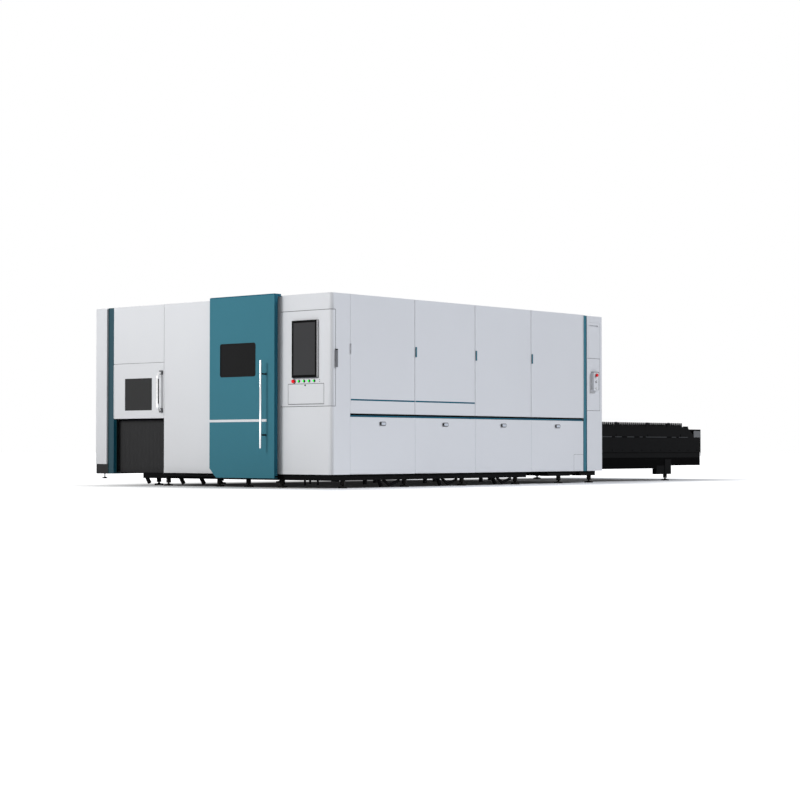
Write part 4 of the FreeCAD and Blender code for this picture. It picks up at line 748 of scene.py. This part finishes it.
def belt_and_strip():
    """Lip and end block of the belt, painted shade on the side strip's bevel, seams of cabinet and access
    panel.
    """
    lip = Form().slab((-9.6, -1.2), (303.6, 4704.4), (785.4, 800.6))
    lip.piece("belt_lip", "machine", "teal_paint", TEAL_DARK_AND_SHADING, 0.5)
    end = Form().slab((-10.2, -1), (4672, 4704.2), (785, 820))
    end.piece("belt_end_block", "machine", "black_frame", PLASTIC, 0.8)
    # The dark teal wedge over the side strip's bevel is painted shade.
    outline = ((-2.3, 4755), (-5.2, 4773), (-3, 4779.2), (-8.4, 4779.2), (-3.2, 4755))
    band = Form().prism([(x, y, 151) for x, y in outline], (0, 0, 1977))
    band.piece("side_strip_painted_shade", "machine", "teal_paint", TEAL_DARK_AND_SHADING, 0)
    seams = Form()
    for z in (918, 1585):
        seams.slab(SEAM_XS, (4781, 5064), (z, z + 4))
    seams.slab(SEAM_XS, (5060, 5064), (918, 1589))
    seams.piece("end_cabinet_seams", "machine", "machine_grey", SEAM, 0)
    hatch = Form().slab(SEAM_XS, (4491, 4493.5), (162, 362)).slab(SEAM_XS, (4491, 4694), (359.5, 362))
    hatch.piece("access_panel_seam", "side_flap_4", "machine_grey", SEAM, 0)


EXCHANGE_Y, EXCHANGE_STOP, EXCHANGE_KEY, EXCHANGE_LAMP = 4933, 1372, 1288, 1209


def exchange_details():
    """Faceplate, stop collar and cap, key switch and lamp of the exchange box, a dark band on its top and a
    painted shadow down its far side.
    """
    outline = rounded((4881, 4985), (1178, 1409), 6, 0)
    face = Form().prism(sideways(outline, 36.1), (1.1, 0, 0))
    face.piece("exchange_faceplate", "machine", "white_panel", WHITE, 0.3)
    collars = Form().collar((36.5, EXCHANGE_Y, EXCHANGE_STOP), RIGHT, 24, 21, 3)
    collars.collar((37, EXCHANGE_Y, EXCHANGE_KEY), RIGHT, 15, 11.4, 5)
    collars.collar((37, EXCHANGE_Y, EXCHANGE_LAMP), RIGHT, 12, 9.4, 4)
    collars.piece("exchange_collars", "machine", "black_frame", PLASTIC, 0)
    profile = [(0, 19.4), (1, 20), (5, 20), (8, 18.4), (10, 15), (11.5, 10), (12, 4)]
    cap = Form().turned((46.2, EXCHANGE_Y, EXCHANGE_STOP), RIGHT, profile, 48)
    cap.piece("exchange_stop_cap", "exchange_stop", "red_button", RED, 0)
    key = Form().slab((44.6, 47.5), about(EXCHANGE_Y, 1.5), about(EXCHANGE_KEY, 8))
    key.turned((42, EXCHANGE_Y, EXCHANGE_LAMP), RIGHT, [(0, 8.6), (1.5, 7.4), (2.4, 4)], 28)
    key.piece("exchange_key_and_lamp", "machine", "polished_bar", CHROME, 0.3)
    # Black along the box's top is a dark band; the black strip down its far side is a painted shadow.
    edge = Form().slab((0.5, 37.6), (4876, 4990), (1408, 1414.8))
    edge.slab((0.5, 37.6), (4985.6, 4990), (1180, 1409))
    edge.piece("exchange_box_band_and_shadow", "machine", "black_frame", PLASTIC, 0.8)


side_door_trim()
belt_and_strip()
exchange_details()


# -------- exchange table

SEAM_Z = 591
SEAM_SLOTS = ((5652, 5724), (5880, 6006), (6175, 6303), (6378, 6453), (6968, 7091), (7204, 7271))
LUGS, LUG_HALF, LUG_ROUND, LUG_FOOT, LUG_TOP = (5760, 6497, 7018), 40, 22, 700, 788
RIBS = (5756, 6497, 7317)
TABLE_START, TABLE_END = 5112, 7826
COMB_PITCH, COMB_ROOT, COMB_TIP = 49.67, 752, 792


def table_trim():
    """Seam, slots, lugs, ribs, bolts, and near-black sheets on the lower skirt as painted shade, along both
    sides of the exchange table.
    """
    for name, face, side in (("right", -220, 1), ("left", -2480, -1)):

        def across(near, far):
            return sorted((face + side * near, face + side * far))

        seam = Form().slab(across(0.1, 1), (TABLE_START, 7500), (SEAM_Z - 4, SEAM_Z + 3))
        seam.piece(f"table_seam_{name}", "machine", "machine_grey", SEAM_GREY, 0)
        # Near-black slabs in the seam's slots are painted shade inside them.
        slots = Form()
        for ys in SEAM_SLOTS:
            slots.slab(across(0.9, 1.8), ys, (SEAM_Z - 8, SEAM_Z + 5))
        slots.piece(f"table_slots_{name}", "machine", "black_frame", BLACK_AND_SHADE, 0.3)
        lugs = Form()
        left, right = across(-14, 2)
        arch = [(LUG_HALF * math.cos(turn), LUG_TOP - LUG_ROUND + LUG_ROUND * math.sin(turn))
                for turn in spaced(0, math.pi / 12, 13)]
        for middle in LUGS:
            ring = [(left, middle + y, z) for y, z in arch]
            ring += [(left, y, LUG_FOOT) for y in about(middle, LUG_HALF)]
            lugs.prism(ring, (right - left, 0, 0))
        lugs.piece(f"table_lugs_{name}", "machine", "black_frame", BLACK, 0.8)
        ribs = Form()
        for middle in RIBS:
            ribs.slab(across(-1, 5), about(middle, 3), (SEAM_Z, 632))
        ribs.piece(f"table_ribs_{name}", "machine", "black_frame", BLACK, 0.5)
        edge = Form().slab(across(-5, 0.6), (TABLE_END, TABLE_END + 5.6), (330, 700))
        edge.piece(f"table_end_edge_{name}", "machine", "machine_grey", LIGHT_FILLER, 0.4)
        # Near-black sheets on the skirt under the rail are painted shade.
        skirt_shade = Form().slab(across(-11.9, -10.6), (TABLE_START, TABLE_END), (204, 312))
        skirt_shade.slab(across(-5.9, -4.6), (TABLE_START, 6728), (168, 286))
        skirt_shade.piece(f"table_skirt_painted_shade_{name}", "machine", "black_frame", BLACK_AND_SHADE, 0.5)
        bolts = Form()
        for y in range(5210, 7800, 230):
            bolts.bolt((face + side * 0.1, y, 412), (side, 0, 0), 7, 5)
        bolts.piece(f"table_bolts_{name}", "machine", "black_frame", BLACK, 0)


def combs():
    """Toothed rails along both sides of each pallet, between which the slats stand."""
    for body, start, foot, lift in (
        ("upper_pallet", UPPER_START, 700.4, 0), ("lower_pallet", LOWER_START, 510.4, -245),
    ):
        root, tip = COMB_ROOT + lift, COMB_TIP + lift
        first = start + 8
        count = int(3084 / COMB_PITCH)
        profile = ((0.08, root), (0.2, tip), (0.8, tip), (0.92, root))
        edge = [(first, foot), (first + count * COMB_PITCH, foot)]
        edge += teeth(first, count, COMB_PITCH, profile) + [(first, root)]
        for name, x in (("right", -500), ("left", -2206)):
            comb = Form().prism([(x, y, z) for y, z in edge], (6, 0, 0))
            comb.piece(f"{body}_comb_{name}", body, "black_frame", BLACK, 0)


table_trim()
combs()


# -------- cutting gear inside the enclosure

BEAM_BACK, BEAM_TOP = 1560, 1225
RAIL_ZS, RAIL_FACE = (1014.4, 1165.6), 1281.4
RACK_LEFT, RACK_COUNT, RACK_PITCH = -2400, 105, 20
HEAD_X, HEAD_Y, HEAD_FRONT = -1350, 1096.5, 1051.8
RING_PROFILE = ((0, 32), (2, 34), (12, 34))


def gantry_gear():
    """Rack and bolts of the gantry, and the runner blocks and motor fins of the carriage."""
    foot, root, tip = 1078, 1101, 1110
    edge = [(RACK_LEFT, foot), (RACK_LEFT + RACK_COUNT * RACK_PITCH, foot)]
    edge += teeth(RACK_LEFT, RACK_COUNT, RACK_PITCH, ((0, root), (0.25, tip), (0.5, tip), (0.75, root)))
    rack = Form().prism([(x, 1289, z) for x, z in edge + [(RACK_LEFT, root)]], (0, 1300.3 - 1289, 0))
    rack.piece("gantry_rack", "gantry", "bare_steel", STEEL, 0)
    bolts = Form()
    for x in spaced(-2390, 104, 21):
        for z in RAIL_ZS:
            bolts.turned((x, 1282.2, z), FRONT, [(0, 5.5), (0.15, 5.5)], 16)
        bolts.bolt((x, BEAM_BACK - 30, BEAM_TOP), UP, 7, 6)
    bolts.piece("gantry_bolts", "gantry", "bare_steel", STEEL, 0)
    blocks = Form()
    for x in (-1494, -1229.5):
        xs = x, x + 23.5
        for z in RAIL_ZS:
            blocks.slab(xs, (1256, RAIL_FACE), about(z, 26))
            for low in (z + 14.6, z - 26):
                blocks.slab(xs, (RAIL_FACE, 1297), (low, low + 11.4))
    blocks.piece("carriage_runner_blocks", "carriage", "black_frame", PLASTIC, 0.8)
    fins = Form()
    for low in spaced(1300, 12, 11):
        fins.slab(about(HEAD_X, 48), (1357, 1453), (low, low + 4))
    fins.piece("carriage_motor_fins", "carriage", "black_frame", PLASTIC, 0.5)
    screws = Form()
    for x in (-1456, -1244):
        for z in spaced(1000, 85, 4):
            screws.bolt((x, 1171.8, z), FRONT, 6, 5)
    screws.piece("carriage_bolts", "carriage", "bare_steel", STEEL, 0)


def head_gear():
    """Cover, lens drawers with knobs, collars and copper nozzle of the cutting head."""
    cover = Form().slab(about(HEAD_X, 41), (1048.6, HEAD_FRONT), (1150, 1358))
    for low in (1046, 1096):
        cover.slab(about(HEAD_X, 37), (1046.6, HEAD_FRONT), (low, low + 40))
    cover.piece("head_cover", "cutting_head", "dark_panel", DARK, 1.2)
    knobs = Form()
    for z in (1066, 1116):
        for x in about(HEAD_X, 26):
            knobs.turned((x, 1046.8, z), FRONT, [(0, 7), (6, 7), (8, 5.5)], 20)
    knobs.turned((HEAD_X, HEAD_Y, 1448), UP, [*RING_PROFILE, (16, 31)], 40)
    knobs.piece("head_knobs", "cutting_head", "black_frame", PLASTIC, 0)
    collar = Form()
    for low in (976, 1010):
        collar.turned((HEAD_X, HEAD_Y, low), UP, [*RING_PROFILE, (14, 32)], 40)
    collar.piece("head_collars", "cutting_head", "bare_steel", STEEL, 0)
    profile = [(0, 6.4), (1.5, 8), (17, 13), (18, 18), (27, 18.5), (29, 17)]
    nozzle = Form().turned((HEAD_X, HEAD_Y, 905.4), UP, profile, 40)
    nozzle.piece("copper_nozzle", "cutting_head", "bare_steel", COPPER, 0)


def bed_openings():
    """Rims of the oval openings along the outer face of the right bed beam."""
    rims, holes = Form(), Form()
    for near in spaced(540, 790, 6):
        spans = (near, near + 360), (330, 480)
        outer = sideways(rounded(*spans, 70, 0), -248.6)
        inner = sideways(rounded(*inset(spans, 12), 60, 0), -248.6)
        rims.frame_ring(outer, inner, (-1.6, 0, 0))
        # The near-black plates inside the rims are painted shade in the openings.
        holes.prism(inner, (-1.2, 0, 0))
    rims.piece("bed_opening_rims", "machine", "machine_grey", GREY, 0.5)
    holes.piece("bed_openings", "machine", "dark_panel", BLACK_AND_SHADE, 0)


gantry_gear()
head_gear()
bed_openings()


# -------- cabinets inside the enclosure

FAN_X, FAN_ZS, FAN_RADIUS = -3300, (1040, 1340), 118
DRIVE_FACE = -2712
VENT_PITCH = 24


def fan(form, place):
    """Add a wire guard of rings and bars over a fan opening that faces front."""
    for share in (0.25, 0.5, 0.75, 1):
        form.collar(place, FRONT, FAN_RADIUS * share, FAN_RADIUS * share - 3, 5, 32)
    for angle in spaced(0, math.pi / 4, 4):
        along = Vector((math.cos(angle), 0, math.sin(angle)))
        bar = Vector(place) - along * FAN_RADIUS + Vector(FRONT) * 3
        form.turned(bar, along, [(0, 1.4), (FAN_RADIUS * 2, 1.4)], 8)
    hub, rim = FAN_RADIUS * 0.22, FAN_RADIUS * 0.18
    form.turned(place, FRONT, [(0, hub), (5, hub), (6, rim)], 28)


def source_and_drives():
    """Fan guards of the laser source, door handles, hinges and vents of the cabinets."""
    guards, wells = Form(), Form()
    # Near-black discs behind the fan guards, and the stripes below them, are painted shade in the openings.
    for z in FAN_ZS:
        fan(guards, (FAN_X, 893.8, z))
        wells.turned((FAN_X, 894.2, z), FRONT, [(0, 122), (0.6, 122), (0.7, 119)], 48)
    guards.piece("source_fan_guards", "machine", "polished_bar", CHROME, 0)
    for z in spaced(300, 34, 9):
        wells.slab((-3420, -2820), (898.8, 900.4), (z, z + 12))
    wells.piece("source_fan_wells", "machine", "dark_panel", BLACK_AND_SHADE, 0)
    doors = Form()
    for y, hinge in ((2752, 2124), (2824, 3464)):
        doors.slab((DRIVE_FACE - 0.3, -2700), (y, y + 24), (1080, 1230))
        doors.slab((DRIVE_FACE - 0.3, -2696), (y + 3, y + 21), (1095, 1160))
        for z in (420, 1050, 1680):
            doors.slab((DRIVE_FACE - 1, -2703), (hinge - 6, hinge + 18), (z, z + 60))
    doors.piece("drive_cabinet_handles", "machine", "black_frame", PLASTIC, 1)
    # The near-black slots are painted shade in the vents.
    vents = Form()
    for low in (2240, 2930):
        for z in spaced(300, VENT_PITCH, 8):
            vents.slab((DRIVE_FACE - 0.2, DRIVE_FACE + 0.6), (low, low + 420), (z, z + 9))
    vents.piece("drive_cabinet_vents", "machine", "dark_panel", BLACK_AND_SHADE, 0)


def control_devices():
    """Computer front, supplies, breakers, terminals and trunking in the control cabinet."""
    fronts, rows, trunking = Form(), Form(), Form()
    for x in spaced(-628, 9, 12):
        fronts.slab((x, x + 5), (174.3, 175.4), (1590, 1830))
    for zs in ((1780, 1822), (1726, 1768)):
        fronts.slab((-505, -432), (173.4, 175.4), zs)
    for z in spaced(1640, 15, 10):
        fronts.slab((-345, -195), (194.3, 195.4), (z, z + 7))
    fronts.piece("control_device_fronts", "machine", "black_frame", PLASTIC, 0.4)
    for x in spaced(-655, 27, 18):
        rows.slab((x, x + 25), (196, 205.4), (1318, 1402)).slab((x + 8, x + 17), (188, 197), (1352, 1378))
    for x in spaced(-655, 12.2, 40):
        rows.slab((x, x + 10.6), (205, 215.4), (1028, 1102))
    rows.piece("control_terminals", "machine", "machine_grey", SILVER, 0.5)
    for z in (1226, 1466, 918):
        trunking.slab((-700, -120), (225, 264.9), (z, z + 44))
        for x in spaced(-698, 10.3, 56):
            trunking.slab((x, x + 6), (223.6, 225.4), (z + 5, z + 39))
    trunking.piece("control_trunking", "machine", "machine_grey", LIGHT_FILLER, 0.5)


def door_ribs():
    """Folded stiffening ribs on the inner faces of the long side's doors and flaps."""
    profile = [(-3.2, -45), (-3.2, 45), (-5, 45), (-5, 26), (-19, 20), (-19, -20), (-5, -26), (-5, -45)]
    for index, start in enumerate(SIDE_STARTS, 1):
        for name, low, high in ((f"side_door_{index}", 858, 2100), (f"side_flap_{index}", 192, 752)):
            ribs = Form()
            for middle in (start + 290, start + 800):
                ribs.prism([(x, middle + y, low) for x, y in profile], (0, 0, high - low))
            ribs.piece(f"{name}_ribs", name, "white_panel", WHITE, 0.8)


source_and_drives()
control_devices()
door_ribs()


# -------- back, left side and roof

def outer_screws():
    """Low round screw heads along the joints of the back, the left wall and the roof."""
    places = [((x, y, ROOF_Z - 0.1), UP) for y in spaced(180, 400, 13) for x in (-70, -1850, -3610)]
    places += [((WALL_X + 0.1, y, z), LEFT) for y in spaced(1330, 338, 12) for z in (190, 2080)]
    places += [((x, BACK_Y - 0.1, 2085), BACK) for x in spaced(-3620, 342, 11)]
    places += [((x, BACK_Y - 0.1, z), BACK) for x in (-3640, -2530) for z in spaced(250, 350, 6)]
    heads = Form()
    for place, axis in places:
        heads.turned(place, axis, [(0, 8), (1.4, 7.4), (2.2, 4)], 20)
    heads.piece("panel_screws", "machine", "white_panel", CHROME, 0)


def outer_seams():
    """Joints between the sheets of the left wall and back, and the seal over the table opening."""
    joints = Form()
    for y in (2480, 3800):
        joints.slab(about(WALL_X, 0.4), about(y, 1.5), (153, 2110))
    joints.slab((-2501.8, -2499), (BACK_Y - 0.6, BACK_Y + 0.4), (903, 2134))
    joints.piece("wall_joints", "machine", "machine_grey", SEAM, 0)
    seal = Form().slab((-2496, -164), (BACK_Y - 6, BACK_Y + 2), (894, 903))
    seal.piece("table_opening_seal", "machine", "dark_panel", RUBBER, 1)


def louvres():
    """Pressed louvres in the left wall, level with the cabinets behind it."""
    hoods, gaps = Form(), Form()
    inner = WALL_X + 0.2
    for near, far in ((2230, 2630), (2950, 3350)):
        for z in spaced(330, VENT_PITCH, 14):
            ring = [(inner, near, z), (WALL_X - 6, near, z + 1.5), (inner, near, z + 17)]
            hoods.prism(ring, (0, far - near, 0))
            # Near-black strips under each hood are painted shade in the gaps.
            gaps.slab((WALL_X - 1.2, inner), (near + 3, far - 3), (z - 4, z + 0.3))
    hoods.piece("wall_louvres", "machine", "white_panel", WHITE, 0.4)
    gaps.piece("wall_louvre_gaps", "machine", "dark_panel", BLACK_AND_SHADE, 0)


ROLLER_RADIUS = 23


def guide_rollers():
    """Brackets and upright rollers that keep the upper pallet straight on the table."""
    profile = [(0, 12), (1, 22), (3, ROLLER_RADIUS), (30, ROLLER_RADIUS), (32, 22), (33, 9), (40, 9)]
    for name, beam, touch, side in (("right", -300, -480, 1), ("left", -2400, -2220, -1)):
        arms, wheels = Form(), Form()
        middle = touch + side * (ROLLER_RADIUS + 0.5)
        for y in (5400, 6150, 6900, 7600):
            arms.slab(sorted((beam, middle)), about(y, 22), (592, 600))
            wheels.turned((middle, y, 601), UP, profile)
        arms.piece(f"roller_arms_{name}", "machine", "black_frame", BLACK, 0.8)
        wheels.piece(f"guide_rollers_{name}", "machine", "black_frame", PLASTIC, 0)


outer_screws()
outer_seams()
louvres()
guide_rollers()


# -------- stage, light, camera

CAMERA_PLACE, CAMERA_LENS, CAMERA_SENSOR = at(14112, -15164, 438), 85.9, 36
CAMERA_AZIMUTH, CAMERA_PITCH = math.radians(40.88), math.radians(1.45)
WORLD_LIGHT = 0.25
FLOOR_SHADE, FLOOR_REACH = 380, 120
LAMP_PLACE, LAMP_TARGET, LAMP_SIZE, LAMP_POWER = Vector((-1.1, -13, 5.2)), Vector((0, -3.8, 1)), 2.6, 530
SUN_PLACE, SUN_ANGLE, SUN_POWER = Vector((37, 42, 38)), math.radians(15), 2.06
SUN_COLOR = (0.92, 0.96, 1.05)


def seen(tree):
    """1 for rays that come from the camera or off metal and glass, 0 for the rest."""
    path = new_node(tree, "LightPath")
    total = path.outputs["Is Camera Ray"]
    for name in ("Is Glossy Ray", "Is Transmission Ray"):
        total = calculate(tree, "MAXIMUM", total, path.outputs[name])
    return total


def floor_distance(tree, low, high):
    """How far a place on the floor lies outside an upright rectangle of it, in metres."""
    place = new_node(tree, "TexCoord")
    parts = new_node(tree, "SeparateXYZ")
    tree.links.new(place.outputs["Object"], parts.inputs["Vector"])
    sides = []
    for name, near, far in (("X", low.x, high.x), ("Y", low.y, high.y)):
        middle, half = (near + far) / 2, (far - near) / 2
        shifted = calculate(tree, "SUBTRACT", parts.outputs[name], middle)
        away = calculate(tree, "SUBTRACT", calculate(tree, "ABSOLUTE", shifted, 0), half)
        sides.append(calculate(tree, "MAXIMUM", away, 0))
    squares = [calculate(tree, "MULTIPLY", side, side) for side in sides]
    return calculate(tree, "SQRT", calculate(tree, "ADD", *squares), 0)


def make_floor():
    """Pale floor that shows white to the camera far off and keeps the machine's shadow; near the housing and
    table its glow fades out by place as painted shade, and a faint glow lifts the shade under them as painted
    light.
    """
    mesh = bpy.data.meshes.new("floor")
    corners = [(x * FLOOR_REACH, y * FLOOR_REACH, 0) for x, y in ((-1, -1), (1, -1), (1, 1), (-1, 1))]
    mesh.from_pydata(corners, [], [(0, 1, 2, 3)])
    floor = into_scene("floor", mesh)
    material, tree = new_material("floor_paint", (0.80, 0.80, 0.80), 0.9, Specular_IOR_Level=0)
    light = new_node(tree, "Emission", Color=(1, 1, 1, 1))
    # The glow fades out by place towards the housing and table: painted shade around them, with a faint glow
    # left under them as painted light.
    housing = floor_distance(tree, at(-2950, -FLOOR_SHADE, 0), at(FLOOR_SHADE, BACK_Y, 0))
    table = floor_distance(tree, at(-2480, BACK_Y, 0), at(-20, 7831, 0))
    distance = calculate(tree, "MINIMUM", housing, table)
    close, wide = spread(tree, distance, 0.014, 0.75, 0, 0.9), spread(tree, distance, 0, 0.25, 0.9, 3)
    glow = calculate(tree, "ADD", close, wide)
    tree.links.new(calculate(tree, "MULTIPLY", glow, seen(tree)), light.inputs["Strength"])
    both = new_node(tree, "AddShader")
    tree.links.new(tree.nodes["Principled BSDF"].outputs["BSDF"], both.inputs[0])
    tree.links.new(light.outputs["Emission"], both.inputs[1])
    tree.links.new(both.outputs["Shader"], tree.nodes["Material Output"].inputs["Surface"])
    mesh.materials.append(material)


def make_world():
    """White to the camera, plain soft grey as a light."""
    world = bpy.data.worlds.new("studio")
    bpy.context.scene.world = world
    world.use_nodes = True
    tree = world.node_tree
    back = set_sockets(tree.nodes["Background"], {"Color": (1, 1, 1, 1)})
    tree.links.new(spread(tree, seen(tree), WORLD_LIGHT, 1.0), back.inputs["Strength"])


def aim(item, direction):
    """Point a lamp or camera along a direction."""
    item.rotation_euler = direction.to_track_quat("-Z", "Y").to_euler()


def make_lights():
    """Soft square lamp before the front, and even light from far away on the right behind."""
    lamp = into_scene("front_light", bpy.data.lights.new("front_light", "AREA"))
    lamp.data.size, lamp.data.energy = LAMP_SIZE, LAMP_POWER
    lamp.location = LAMP_PLACE
    aim(lamp, LAMP_TARGET - LAMP_PLACE)
    sun = into_scene("side_light", bpy.data.lights.new("side_light", "SUN"))
    sun.data.angle, sun.data.energy, sun.data.color = SUN_ANGLE, SUN_POWER, SUN_COLOR
    aim(sun, -SUN_PLACE)


def make_camera():
    """Camera low over the floor, looking at the machine's near front corner."""
    data = bpy.data.cameras.new("camera")
    data.lens, data.sensor_width = CAMERA_LENS, CAMERA_SENSOR
    data.clip_end = 400
    camera = into_scene("camera", data)
    camera.location = CAMERA_PLACE
    level = math.cos(CAMERA_PITCH)
    aim(camera, Vector((
        -math.sin(CAMERA_AZIMUTH) * level, math.cos(CAMERA_AZIMUTH) * level, math.sin(CAMERA_PITCH))))
    bpy.context.scene.camera = camera


make_floor()
make_world()
make_camera()
make_lights()
bpy.context.scene.view_settings.view_transform = "Standard"
